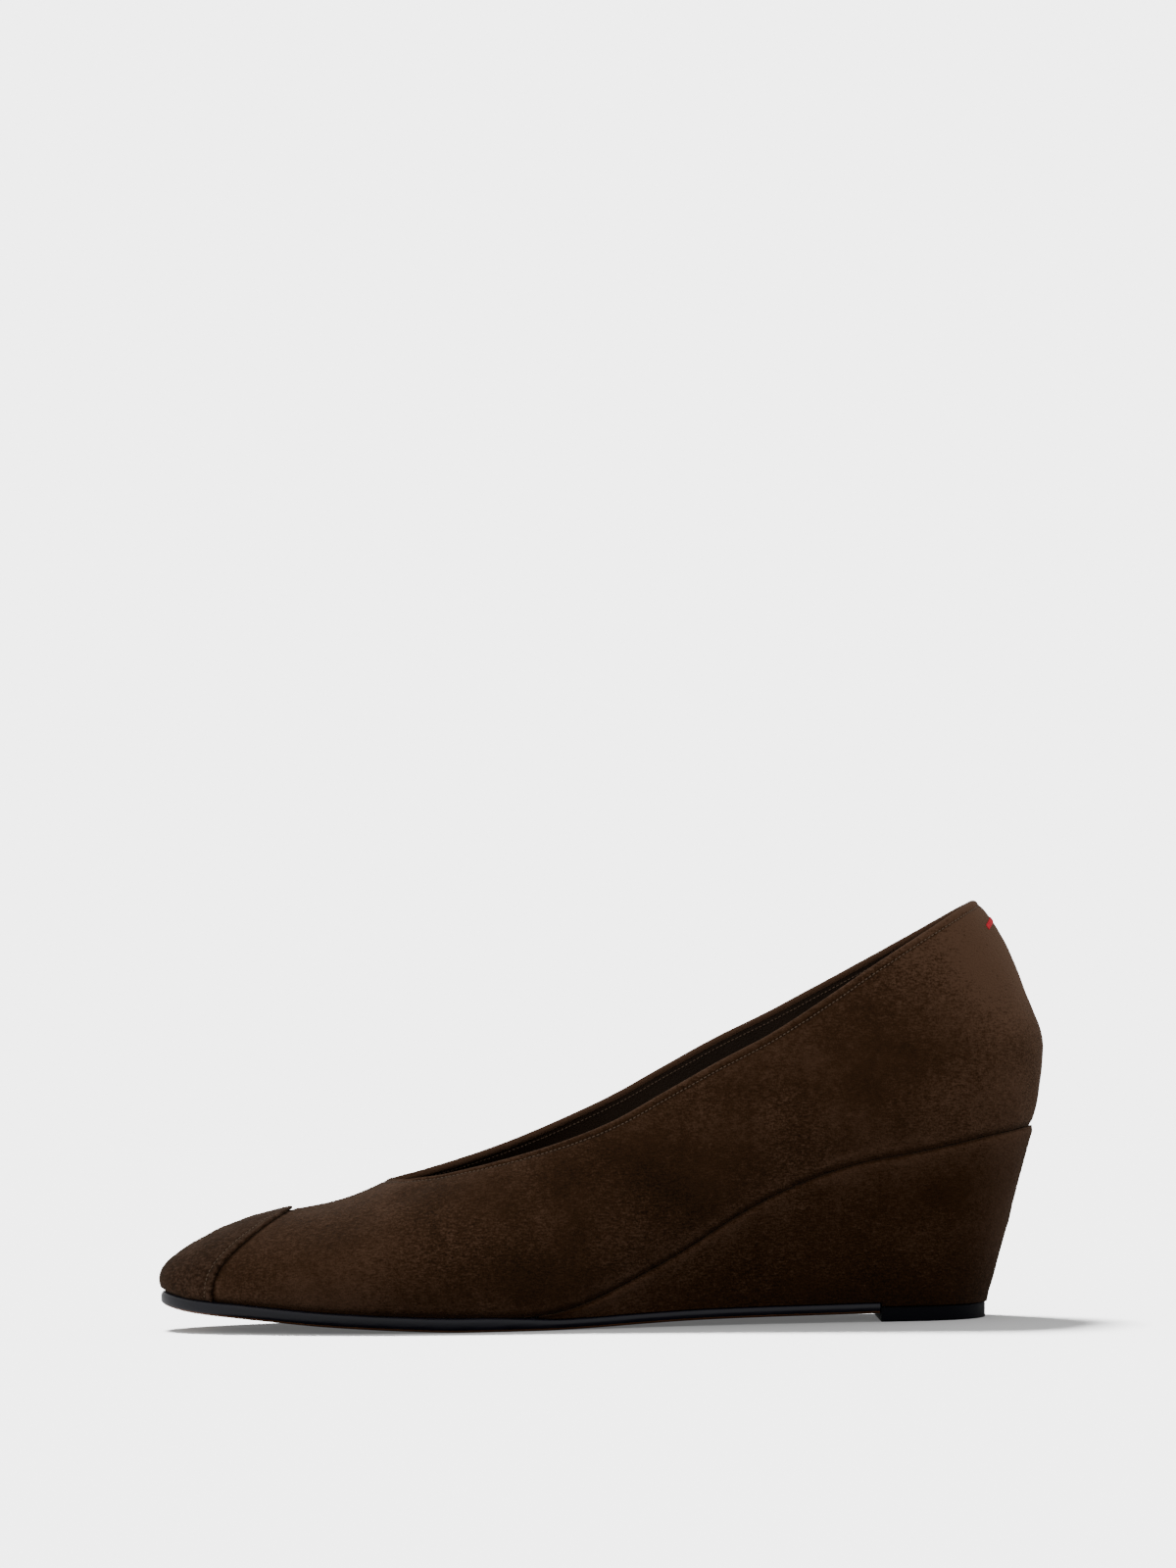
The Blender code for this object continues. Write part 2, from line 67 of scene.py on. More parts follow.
MM = 0.001
BODY = "root"
LATERAL = -1
MEDIAL = 1
BELLY = 1.0                     # level of the widest line
CREST = 2.0                     # level of the centre line on top

# The last
LAST_LENGTH = 243.6 * MM        # feather edge, toe to heel
FEATHER_FRONT = -122.6 * MM     # where the feather edge starts
CENTRE_LINE_Y = 2.5 * MM
BALL_WIDTH = 78.5 * MM
TOE_ROUND = 62.0 * MM
HEEL_ROUND = 30.0 * MM
NOSE_SWELL = 1.3 * MM
TOE_SPRING = 7.2 * MM
HEEL_RISE = 50.3 * MM
VAMP_HEIGHT = 37.2 * MM
BACK_HEIGHT = 63.8 * MM
MEDIAL_RAISE = 6.6 * MM
SHANK_LIFT = 2.4 * MM
HEEL_FADE = 60.0 * MM
NOSE_FADE = 30.0 * MM

# Layers
WALL = 2.0 * MM
SUEDE = 1.3 * MM                # the outer skin, behind which the lining lies
LINING_FRONT = 1.36 * MM        # depths of the lining's two faces
LINING_BACK = 1.86 * MM
SOLE_THICKNESS = 3.7 * MM
SHANK_THICKNESS = 2.8 * MM
INSOLE_THICKNESS = 2.2 * MM
TOP_PIECE_HEIGHT = 4.1 * MM
GAP = 0.3 * MM
WELD = 0.005 * MM
TINY = 1e-9
HALVINGS = 40                   # steps of a search between two values

# Places along the shoe
THROAT_AT = 63.8 * MM
WEDGE_AT = 104.0 * MM
WEDGE_TIP = WEDGE_AT / LAST_LENGTH
TIP_BLEND = 0.08                # stations on either side of the wedge's tip
THIN_FROM = WEDGE_TIP - 0.06    # where the sole grows thinner
THIN_TO = WEDGE_TIP + 0.04
CAP_CREST_AT = 35.5 * MM
CAP_SIDE_AT = 14.3 * MM
CAP_CURVE = 3.0
BREAST_X = 76.8 * MM

# Edges of the sole, wedge and top piece
SOLE_MARGIN = 1.7 * MM
SHANK_MARGIN = 0.4 * MM
WEDGE_PROUD = 0.5 * MM
WEDGE_TAPER = 4.5 * MM
BACK_TAPER = 13.1 * MM
WEDGE_NOSE = 0.4 * MM
TOP_PIECE_INSET = 0.6 * MM

# Half widths are shares of BALL_WIDTH, `up` and `vamp` of VAMP_HEIGHT and `cone` of BACK_HEIGHT.
Section = namedtuple("Section", "station lateral medial out up vamp cone inward")
SECTIONS = [
    Section(0.00, 0.385, 0.370, 0.022, 0.080, 0.500, 0.00, 0.000),
    Section(0.06, 0.405, 0.385, 0.026, 0.120, 0.572, 0.00, 0.004),
    Section(0.12, 0.435, 0.405, 0.030, 0.160, 0.592, 0.00, 0.010),
    Section(0.19, 0.482, 0.440, 0.030, 0.190, 0.613, 0.00, 0.018),
    Section(0.225, 0.502, 0.455, 0.029, 0.200, 0.676, 0.00, 0.024),
    Section(0.26, 0.520, 0.466, 0.028, 0.210, 0.772, 0.00, 0.030),
    Section(0.33, 0.535, 0.464, 0.024, 0.220, 0.985, 0.00, 0.038),
    Section(0.40, 0.520, 0.438, 0.022, 0.230, 1.200, 0.03, 0.040),
    Section(0.48, 0.470, 0.378, 0.026, 0.270, 1.300, 0.15, 0.036),
    Section(0.56, 0.412, 0.330, 0.032, 0.340, 1.100, 0.35, 0.030),
    Section(0.65, 0.372, 0.316, 0.036, 0.420, 0.700, 0.62, 0.022),
    Section(0.74, 0.358, 0.326, 0.040, 0.500, 0.350, 0.78, 0.012),
    Section(0.83, 0.352, 0.336, 0.044, 0.560, 0.100, 0.88, 0.006),
    Section(0.91, 0.346, 0.340, 0.048, 0.600, 0.000, 0.90, 0.002),
    Section(1.00, 0.340, 0.338, 0.052, 0.620, 0.000, 0.90, 0.000),
]

# The seat line behind the ball, as shares of HEEL_RISE.
SeatRow = namedtuple("SeatRow", "station rise")
SEAT = [
    SeatRow(0.40, 0.000), SeatRow(0.42, 0.006), SeatRow(0.46, 0.045), SeatRow(0.50, 0.117),
    SeatRow(0.55, 0.237), SeatRow(0.60, 0.370), SeatRow(0.65, 0.520), SeatRow(0.70, 0.650),
    SeatRow(0.75, 0.749), SeatRow(0.80, 0.821), SeatRow(0.85, 0.863), SeatRow(0.90, 0.908),
    SeatRow(0.95, 0.957), SeatRow(1.00, 1.000),
]

# The sole's underside over the floor, as shares of TOE_SPRING and SHANK_LIFT.
SoleRow = namedtuple("SoleRow", "station toe shank")
SOLE = [
    SoleRow(0.00, 1.000, 0.00), SoleRow(0.02, 0.830, 0.00), SoleRow(0.045, 0.700, 0.00),
    SoleRow(0.09, 0.555, 0.00), SoleRow(0.135, 0.415, 0.00), SoleRow(0.18, 0.280, 0.00),
    SoleRow(0.23, 0.170, 0.00), SoleRow(0.28, 0.080, 0.00), SoleRow(0.32, 0.020, 0.00),
    SoleRow(0.345, 0.000, 0.00), SoleRow(0.36, 0.000, 0.00), SoleRow(0.42, 0.000, 0.00),
    SoleRow(0.445, 0.000, 0.00), SoleRow(0.50, 0.000, 0.18), SoleRow(0.55, 0.000, 0.43),
    SoleRow(0.60, 0.000, 0.64), SoleRow(0.66, 0.000, 0.78), SoleRow(0.77, 0.000, 0.93),
    SoleRow(0.83, 0.000, 1.00), SoleRow(1.00, 0.000, 1.00),
]

# The topline from the side: its climb to the back seam, and the inner side's share of MEDIAL_RAISE.
ToplineRow = namedtuple("ToplineRow", "station climb raised")
TOPLINE = [
    ToplineRow(0.262, 0.000, 0.00), ToplineRow(0.29, 0.005, 0.20), ToplineRow(0.34, 0.034, 0.40),
    ToplineRow(0.40, 0.081, 0.62), ToplineRow(0.46, 0.138, 0.86), ToplineRow(0.52, 0.212, 1.00),
    ToplineRow(0.58, 0.316, 1.00), ToplineRow(0.64, 0.420, 0.97), ToplineRow(0.70, 0.518, 0.88),
    ToplineRow(0.76, 0.638, 0.64), ToplineRow(0.82, 0.765, 0.34), ToplineRow(0.88, 0.886, 0.14),
    ToplineRow(0.94, 1.001, 0.00), ToplineRow(1.00, 1.090, 0.00),
]

# The back seam from the side, from the seat upwards, as shares of BACK_HEIGHT.
BackRow = namedtuple("BackRow", "height lean")
BACK = [
    BackRow(0.00, 0.000), BackRow(0.06, 0.022), BackRow(0.18, 0.047), BackRow(0.34, 0.065),
    BackRow(0.43, 0.053), BackRow(0.50, 0.023), BackRow(0.58, -0.008), BackRow(0.68, -0.042),
    BackRow(0.78, -0.082), BackRow(0.88, -0.136), BackRow(0.95, -0.185), BackRow(1.00, -0.232),
    BackRow(1.20, -0.390),
]

# Soft troughs that the last's shape and wear leave in the suede: centre, direction against the
# shoe's length in degrees, half length, half width and depth.
Crease = namedtuple("Crease", "side station level turn length width depth")
CREASES = [
    Crease(LATERAL, 0.300, 1.62, 24, 15 * MM, 3.0 * MM, 0.22 * MM),
    Crease(LATERAL, 0.385, 1.42, 32, 17 * MM, 3.5 * MM, 0.20 * MM),
    Crease(LATERAL, 0.470, 1.05, 18, 20 * MM, 3.2 * MM, 0.22 * MM),
    Crease(LATERAL, 0.560, 0.70, 26, 16 * MM, 2.6 * MM, 0.18 * MM),
    Crease(LATERAL, 0.760, 1.10, 12, 22 * MM, 4.0 * MM, 0.20 * MM),
    Crease(LATERAL, 0.880, 0.95, 3, 16 * MM, 3.0 * MM, 0.20 * MM),
    Crease(MEDIAL, 0.320, 1.55, -26, 15 * MM, 3.2 * MM, 0.22 * MM),
    Crease(MEDIAL, 0.480, 1.10, -20, 20 * MM, 3.4 * MM, 0.22 * MM),
    Crease(MEDIAL, 0.620, 0.80, -24, 17 * MM, 3.0 * MM, 0.18 * MM),
    Crease(MEDIAL, 0.860, 0.95, -4, 17 * MM, 3.2 * MM, 0.20 * MM),
]

# Across a crease, in its half widths: place, width and height of its trough and its two ridges
CREASE_SHAPE = ((0.0, 1.0, -1.0), (1.9, 1.1, 0.55), (-1.9, 1.1, 0.35))
CREASE_REACH = 12 * MM          # keeps a crease off the other side of the shoe

# Lighter and darker places seen from the side: nap that lies another way, and painted light and
# shade such as the paler heel and back: centre, half width and half height in millimetres, and how
# much lighter they are.
Patch = namedtuple("Patch", "x z width height lighter")
NAP_PATCHES_AND_PAINTED_LIGHT = [
    Patch(19, 38, 22, 12, -0.22), Patch(-28, 14, 20, 9, -0.20), Patch(-67, 18, 20, 10, 0.14),
    Patch(-60, 10, 40, 6, 0.24), Patch(46, 72, 24, 10, 0.08), Patch(72, 88, 10, 7, -0.12),
    Patch(75, 66, 14, 9, -0.14), Patch(113, 100, 24, 18, 0.80), Patch(112, 66, 18, 14, 0.24),
    Patch(-10, 32, 16, 9, 0.16), Patch(38, 54, 18, 11, 0.20), Patch(90, 54, 18, 10, 0.16),
]

# Soft bands beside a line: distance from it and half width in millimetres, and the height in
# millimetres or how much lighter the colour is painted, as painted highlight (above 0) and painted
# shade (below 0).
CAP_STITCH = 2.45
Band = namedtuple("Band", "place width amount")
FOLD_RELIEF = [Band(1.2, 0.6, 0.12)]
SEAM_RELIEF = [Band(0.9, 0.6, 0.10), Band(0.0, 0.32, -0.25)]
CAP_LINE_RELIEF = [Band(0.0, 0.7, -0.18), Band(1.6, 0.8, 0.10)]
CAP_RELIEF = [Band(1.1, 0.7, 0.05), Band(CAP_STITCH, 0.5, -0.12)]
WEDGE_RELIEF = [Band(2.2, 1.3, 0.12)]
# painted highlight along the rounded fold of the topline
FOLD_HIGHLIGHT = [Band(0.2, 1.0, 0.26), Band(4.0, 3.0, 0.10)]
# painted shade in the crevice at the cap's edge, and a painted highlight on the ridge beside it
CAP_LINE_SHADE_AND_HIGHLIGHT = [Band(0.0, 0.6, -0.35), Band(1.4, 0.8, 0.10)]
# painted highlight on the upper's lip over the wedge and sole
FOOT_HIGHLIGHT = [Band(2.6, 1.6, 0.16)]
# painted highlight on the cap's rolled edge, and painted shade in its stitch groove
CAP_EDGE_HIGHLIGHT_AND_SHADE = [Band(0.9, 0.8, 0.12), Band(CAP_STITCH, 0.4, -0.12)]
# painted highlight along the wedge's rounded top edge
WEDGE_TOP_HIGHLIGHT = [Band(2.0, 1.5, 0.22), Band(5.0, 4.0, 0.12)]
TUCK = (0.2 * MM, 1.2 * MM)     # where a skin turns in at the feather edge

# Layers of noise in the suede, with their shares of its tone
Layer = namedtuple("Layer", "scale detail roughness share")
PATCHES = Layer(26, 2.0, 0.5, 0.6)
BLOTCHES = Layer(75, 3.0, 0.5, 0.5)
MOTTLE = Layer(520, 3.0, 0.6, 0.55)
NAP = Layer(1900, 2.0, 0.6, 1.0)
STROKES = Layer(700, 2.0, 0.55, 0.9)
BRUSHING = Layer(34, 1.0, 0.5, 3.2)
BRUSHING_FROM = -0.6            # how much of the nap and its strokes shows at least
STROKE_TURN = (0.3, 0.75, 0.2)
STROKE_SCALE = (1.0, 1.0, 3.2)
DARK_NAP = 0.34                 # share of the colour in the darkest nap
PALE_NAP = (2.0, 0.016)         # gain and lift of the colour in the palest
SHEEN_TINT = (0.62, 0.44, 0.31)
MOTTLE_DEPTH = 0.35 * MM
NAP_DEPTH = 0.30 * MM

# Distances of the mesh's rows from a folded edge and from the feather edge
EDGE_ROWS = np.array((
    0.0, 0.05, 0.15, 0.3, 0.5, 0.75, 1.0, 1.25, 1.45, 1.6, 1.85, 2.1, 2.35, 2.6, 2.85, 3.2, 3.8,
    4.7, 6.0,
)) * MM
FOOT_ROWS = np.array((0.0, 0.3, 0.6, 1.0, 1.5, 2.3)) * MM


class PumpSizes(bpy.types.PropertyGroup):
    """Sizes of the finish."""

    stitch_inset: FloatProperty(
        name="Stitch inset", description="Topline stitch row to the folded edge",
        default=2.4 * MM, min=1.5 * MM, max=5 * MM, unit="LENGTH", precision=5)
    stitch_pitch: FloatProperty(
        name="Stitch pitch", description="From one stitch to the next",
        default=1.25 * MM, min=0.8 * MM, max=4 * MM, unit="LENGTH", precision=5)
    thread: FloatProperty(
        name="Thread", description="Thickness of the sewing thread",
        default=0.42 * MM, min=0.1 * MM, max=0.8 * MM, unit="LENGTH", precision=5)
    tack_length: FloatProperty(
        name="Bar tack length", description="Bar tack across the back seam",
        default=24 * MM, min=2 * MM, max=30 * MM, unit="LENGTH", precision=5)
    tack_height: FloatProperty(
        name="Bar tack height", description="Bar tack along the back seam",
        default=1.8 * MM, min=0.5 * MM, max=4 * MM, unit="LENGTH", precision=5)
    tack_drop: FloatProperty(
        name="Bar tack drop", description="Bar tack below the top of the back seam",
        default=5.8 * MM, min=3 * MM, max=20 * MM, unit="LENGTH", precision=5)
    lump: FloatProperty(
        name="Unevenness", description="How far the suede's surface wanders",
        default=0.10 * MM, min=0.0, max=0.5 * MM, unit="LENGTH", precision=5)
    hair: FloatProperty(
        name="Nap hair", description="Longest loose hair of the nap",
        default=0.38 * MM, min=0.1 * MM, max=2 * MM, unit="LENGTH", precision=5)
    hair_count: FloatProperty(
        name="Hairs per square millimetre", description="At an edge, where hairs show most",
        default=2.2, min=0.0, max=6.0)
    seed: IntProperty(name="Seed", description="Start of the random placing", default=7, min=0)


def colour(name, description, value):
    """A colour property."""
    return FloatVectorProperty(
        name=name, description=description, default=value, size=3, min=0.0, max=1.0,
        subtype="COLOR")


class PumpColours(bpy.types.PropertyGroup):
    """Colours of the finish, in linear light."""

    suede: colour("Suede", "Upper", (0.0410, 0.0172, 0.0064))
    cap: colour("Cap suede", "Toe cap", (0.0320, 0.0137, 0.0054))
    # darker than the upper's suede, in part as painted shade of the low wedge that faces down
    wedge: colour("Wedge suede", "Covered wedge", (0.0300, 0.0110, 0.0024))
    lining: colour("Lining", "Lining leather inside", (0.026, 0.0125, 0.0050))
    sock: colour("Sock", "Leather on the insole", (0.034, 0.018, 0.010))
    thread: colour("Thread", "Brown sewing thread", (0.130, 0.084, 0.055))
    tack: colour("Bar tack", "Red thread at the back", (0.62, 0.018, 0.034))
    edge: colour("Sole edge", "Painted edge of the sole", (0.0072, 0.0070, 0.0125))
    bottom: colour("Sole bottom", "Leather under the sole", (0.18, 0.075, 0.034))
    rubber: colour("Rubber", "Top piece", (0.0012, 0.0012, 0.0034))
    floor: colour("Floor", "Studio floor", (0.45, 0.45, 0.45))


def sizes():
    return bpy.context.scene.pump_sizes


def colours():
    return bpy.context.scene.pump_colours


def smooth(table, column, at):
    """A column of a table, read between its rows on one smooth curve."""
    keys = np.array([row[0] for row in table])
    values = np.array([getattr(row, column) for row in table])
    last = len(keys) - 1
    low = np.maximum(np.arange(last + 1) - 1, 0)
    high = np.minimum(np.arange(last + 1) + 1, last)
    slope = (values[high] - values[low]) / (keys[high] - keys[low])
    at = np.clip(at, keys[0], keys[-1])
    i = np.clip(np.searchsorted(keys, at, side="right") - 1, 0, last - 1)
    span = keys[i + 1] - keys[i]
    u = (at - keys[i]) / span
    return (
        values[i] * (1 + 2 * u) * (1 - u) ** 2
        + slope[i] * span * u * (1 - u) ** 2
        + values[i + 1] * u * u * (3 - 2 * u)
        + slope[i + 1] * span * u * u * (u - 1)
    )


def ease(value, start, end):
    """0 before start, 1 after end, and a smooth step between."""
    u = np.clip((value - start) / (end - start), 0.0, 1.0)
    return u * u * (3 - 2 * u)


def fade(value, start, end):
    """1 before start and 0 after end."""
    return 1 - ease(value, start, end)


def bell(value, centre, width):
    """1 at the centre, fading on both sides."""
    return np.exp(-(((value - centre) / width) ** 2))


def bands(distance, rows):
    """The sum of soft bands, at some distances from their line."""
    return sum(row.amount * bell(distance, row.place * MM, row.width * MM) for row in rows)


def station_x(station):
    return FEATHER_FRONT + station * LAST_LENGTH


def round_end(share, reach):
    """A quarter ellipse: 0 at an end of the last and 1 from the reach on."""
    u = np.clip(share * LAST_LENGTH / reach, 0.0, 1.0)
    return np.sqrt(1 - (1 - u) ** 2)


def round_toe(station):
    return round_end(station, TOE_ROUND)


def round_heel(station):
    return round_end(1 - station, HEEL_ROUND)


def heel_fade(station):
    """How much of the heel's own curve shows at a station: 1 at the back seam."""
    return np.maximum(0.0, 1 - (1 - station) * LAST_LENGTH / HEEL_FADE) ** 2


def nose_fade(station):
    return np.maximum(0.0, 1 - station * LAST_LENGTH / NOSE_FADE) ** 2


def sole_low(station):
    """Height of the sole's underside over the floor."""
    toe = TOE_SPRING * np.maximum(0.0, smooth(SOLE, "toe", station))
    return toe + SHANK_LIFT * np.maximum(0.0, smooth(SOLE, "shank", station))


def sole_thickness(station):
    thin = ease(station, THIN_FROM, THIN_TO)
    return SOLE_THICKNESS + (SHANK_THICKNESS - SOLE_THICKNESS) * thin


def feather_z(station):
    """Height of the feather edge."""
    toe = TOE_SPRING * np.maximum(0.0, smooth(SOLE, "toe", station))
    return toe + sole_thickness(station) + GAP + HEEL_RISE * smooth(SEAT, "rise", station)


def above_feather(points):
    """Height of points over the feather edge."""
    station = np.clip((points[:, 0] - FEATHER_FRONT) / LAST_LENGTH, 0.0, 1.0)
    return points[:, 2] - feather_z(station)


def feather_half(side, station):
    column = "lateral" if side == LATERAL else "medial"
    share = smooth(SECTIONS, column, station)
    return share * BALL_WIDTH * round_toe(station) * round_heel(station)


def belly_up(station):
    return smooth(SECTIONS, "up", station) * VAMP_HEIGHT


def crest_rise(station):
    """Height of the crest above the belly."""
    vamp = smooth(SECTIONS, "vamp", station) * VAMP_HEIGHT
    cone = smooth(SECTIONS, "cone", station) * BACK_HEIGHT
    return (vamp + cone) * round_toe(station)


def last_points(side, station, level):
    """Points of the upper's outside: level 0 is the feather edge, 1 the belly, 2 the crest."""
    station, level = np.broadcast_arrays(np.asarray(station, float), np.asarray(level, float))
    ends = round_toe(station) * round_heel(station)
    below = np.minimum(level, BELLY)
    arc = np.maximum(level - BELLY, 0.0) * math.pi / 2
    swell = 1 - (1 - below) ** 2
    edge = feather_half(side, station)
    edge = edge + smooth(SECTIONS, "out", station) * BALL_WIDTH * swell * ends
    crest_y = smooth(SECTIONS, "inward", station) * BALL_WIDTH * ends
    y = CENTRE_LINE_Y + crest_y + (side * edge - crest_y) * np.cos(arc)
    rise = belly_up(station) * below + crest_rise(station) * np.sin(arc)
    lean = smooth(BACK, "lean", rise / BACK_HEIGHT) * BACK_HEIGHT
    x = station_x(station) - NOSE_SWELL * swell * nose_fade(station) + lean * heel_fade(station)
    return np.stack((x, y, feather_z(station) + rise), axis=-1)


def solve(height, low, high):
    """Values between low and high where a rising function passes zero."""
    low = np.array(low, float)
    high = np.array(high, float)
    for _ in range(HALVINGS):
        middle = (low + high) / 2
        over = height(middle) > 0
        high = np.where(over, middle, high)
        low = np.where(over, low, middle)
    return (low + high) / 2


def topline_z(side, x):
    """Height of the topline at x, seen from the side."""
    low = last_points(side, THROAT_AT / LAST_LENGTH, CREST)[2]
    high = feather_z(1.0) + BACK_HEIGHT
    station = (x - FEATHER_FRONT) / LAST_LENGTH
    rise = smooth(TOPLINE, "climb", station) * (high - low)
    if side == MEDIAL:
        rise = rise + smooth(TOPLINE, "raised", station) * MEDIAL_RAISE
    return low + rise


def top_levels(side, stations):
    """The levels at which the topline cuts the last."""

    def above(level):
        points = last_points(side, stations, level)
        return points[..., 2] - topline_z(side, points[..., 0])

    cut = solve(above, np.full(stations.shape, BELLY), np.full(stations.shape, CREST))
    return np.where(stations <= THROAT_AT / LAST_LENGTH, CREST, cut)


def cap_stations(side, levels):
    """The stations at which the toe cap's rear edge crosses some levels."""

    def behind(station):
        points = last_points(side, station, levels)
        rise = belly_up(station) + crest_rise(station)
        height = (points[..., 2] - feather_z(station)) / rise
        edge = CAP_SIDE_AT + (CAP_CREST_AT - CAP_SIDE_AT) * height ** CAP_CURVE
        return points[..., 0] - (FEATHER_FRONT + edge)

    low = np.zeros(levels.shape)
    return solve(behind, low, low + 2 * CAP_CREST_AT / LAST_LENGTH)


def upper_stations(steps):
    """Stations that stand close together where the toe, the throat and the heel curve."""
    toe_steps, throat_steps, quarter_steps, heel_steps = steps
    throat = THROAT_AT / LAST_LENGTH
    ahead = throat - EDGE_ROWS[:0:-1] / LAST_LENGTH
    turns = np.linspace(0.0, math.pi / 2, toe_steps + 1)
    toe = TOE_ROUND / LAST_LENGTH * (1 - np.cos(turns))
    waist = throat + 0.5 * TOE_ROUND / LAST_LENGTH
    heel = 1 - HEEL_ROUND / LAST_LENGTH
    return np.concatenate((
        toe[toe < ahead[0] - 0.5 * MM / LAST_LENGTH],
        ahead,
        throat + (waist - throat) * (np.arange(throat_steps) / throat_steps) ** 2,
        np.linspace(waist, heel, quarter_steps, endpoint=False),
        heel + (1 - heel) * np.sin(np.linspace(0.0, math.pi / 2, heel_steps + 1)),
    ))


def rib_levels(side, stations, tops, body_rows):
    """Levels of the rows on each rib, close together at the feather edge and at the top."""
    fine = np.linspace(0.0, 1.0, 241) * tops[:, None]
    points = last_points(side, stations[:, None], fine)
    steps = np.linalg.norm(np.diff(points, axis=1), axis=2)
    lengths = np.pad(np.cumsum(steps, axis=1), ((0, 0), (1, 0)))
    levels = []
    for level, length in zip(fine, lengths):
        squeeze = min(1.0, length[-1] / (3 * (FOOT_ROWS[-1] + EDGE_ROWS[-1])))
        low = FOOT_ROWS * squeeze
        high = length[-1] - EDGE_ROWS[::-1] * squeeze
        body = np.linspace(low[-1], high[0], body_rows + 2)[1:-1]
        levels.append(np.interp(np.concatenate((low, body, high)), length, level))
    return np.array(levels)


class Sheet:
    """A surface without thickness: points, outward normals, faces and directed border edges."""

    def __init__(self, points, normals, faces):
        self.points = points
        self.normals = normals
        self.faces = faces
        sides = {(a, b) for face in faces for a, b in zip(face, face[1:] + face[:1])}
        self.border = sorted(edge for edge in sides if edge[::-1] not in sides)

    def kept(self, mask):
        """The part of the sheet whose faces lie wholly on the kept points."""
        faces = [face for face in self.faces if all(mask[k] for k in face)]
        used = sorted({k for face in faces for k in face})
        place = {k: n for n, k in enumerate(used)}
        faces = [[place[k] for k in face] for face in faces]
        return Sheet(self.points[used], self.normals[used], faces), used


def joined_sheet(grids):
    """One sheet of a lateral and a medial grid, joined wherever they meet. Its foot's normals are
    level, so that a layer on it stands on the same line."""
    mesh = bmesh.new()
    foot = mesh.verts.layers.int.new("foot")
    for side, grid in grids:
        rows = [[mesh.verts.new(point) for point in row] for row in grid]
        for row in rows:
            row[0][foot] = 1
        for a, b in zip(rows, rows[1:]):
            for k in range(len(a) - 1):
                corners = [a[k], b[k], b[k + 1], a[k + 1]]
                mesh.faces.new(corners if side == LATERAL else corners[::-1])
    bmesh.ops.remove_doubles(mesh, verts=mesh.verts, dist=WELD)
    mesh.normal_update()
    mesh.verts.index_update()
    points = np.array([vertex.co for vertex in mesh.verts])
    normals = np.array([vertex.normal for vertex in mesh.verts])
    level = np.array([vertex[foot] == 1 for vertex in mesh.verts])
    faces = [[vertex.index for vertex in face.verts] for face in mesh.faces]
    mesh.free()
    normals[level, 2] = 0.0
    normals /= np.linalg.norm(normals, axis=1)[:, None]
    return Sheet(points, normals, faces)


def dense(line, step=0.1 * MM, closed=False):
    """The points of a line at even steps."""
    if closed:
        line = np.concatenate((line, line[:1]))
    length = np.pad(np.cumsum(np.linalg.norm(np.diff(line, axis=0), axis=1)), (1, 0))
    at = np.linspace(0.0, length[-1], max(2, round(length[-1] / step)) + 1)
    return np.stack([np.interp(at, length, line[:, k]) for k in range(3)], axis=1)


def tree_of(points):
    """A tree that finds the nearest of some points."""
    tree = KDTree(len(points))
    for k, point in enumerate(points):
        tree.insert(point, k)
    tree.balance()
    return tree


def nearness(points, line):
    """Distance of each point from a dense line, and the line's point next to it."""
    tree = tree_of(line)
    found = [tree.find(point) for point in points]
    return np.array([hit[2] for hit in found]), line[[hit[1] for hit in found]]


def wander(points, scale, seed, waves=14):
    """A smooth random field over space, roughly between -1 and 1."""
    chance = np.random.RandomState(seed)
    ways = chance.normal(size=(waves, 3))
    ways /= np.linalg.norm(ways, axis=1)[:, None]
    ways *= (2 * math.pi / scale) * chance.uniform(0.6, 1.5, size=(waves, 1))
    phases = chance.uniform(0, 2 * math.pi, size=waves)
    return np.sin(points @ ways.T + phases).sum(axis=1) * math.sqrt(2 / waves) / 2


def uneven(points, rows):
    """A surface's unevenness, from rows of scale in millimetres, seed and share."""
    return sum(share * wander(points, scale * MM, seed) for scale, seed, share in rows)


def creased(sheet):
    """Depth of the creases, with a soft ridge along each."""
    depth = np.zeros(len(sheet.points))
    for crease in CREASES:
        station = np.array((crease.station, crease.station + 0.01, crease.station))
        level = np.array((crease.level, crease.level, crease.level + 0.02))
        centre, ahead, higher = last_points(crease.side, station, level)
        along = (ahead - centre) / np.linalg.norm(ahead - centre)
        normal = np.cross(along, higher - centre) * -crease.side
        normal /= np.linalg.norm(normal)
        up = np.cross(normal, along) * -crease.side
        turn = math.radians(crease.turn)
        way = along * math.cos(turn) + up * math.sin(turn)
        side = np.cross(normal, way)
        from_centre = sheet.points - centre
        u = from_centre @ way / crease.length
        v = from_centre @ side / crease.width
        near = bell(from_centre @ normal, 0.0, CREASE_REACH)
        shape = sum(height * bell(v, place, width) for place, width, height in CREASE_SHAPE)
        depth += crease.depth * np.exp(-u * u) * shape * near
    return depth


def nap_patches_and_painted_light(points):
    """Soft lighter and darker places: nap that lies another way, and painted light and shade."""
    x = points[:, 0] / MM
    z = points[:, 2] / MM
    return sum(
        patch.lighter * bell(x, patch.x, patch.width) * bell(z, patch.z, patch.height)
        for patch in NAP_PATCHES_AND_PAINTED_LIGHT)


@functools.lru_cache(maxsize=None)
def upper_sheet(steps, body_rows):
    """The upper's outside and its rim, from the heel along the outer side and back again."""
    stations = upper_stations(steps)
    grids = []
    for side in (LATERAL, MEDIAL):
        levels = rib_levels(side, stations, top_levels(side, stations), body_rows)
        grids.append((side, last_points(side, stations[:, None], levels)))
    open_part = stations >= THROAT_AT / LAST_LENGTH
    lateral = grids[0][1][open_part, -1]
    medial = grids[1][1][open_part, -1]
    rim = np.concatenate((lateral[::-1], medial[1:-1]))
    return joined_sheet(grids), dense(rim, closed=True)


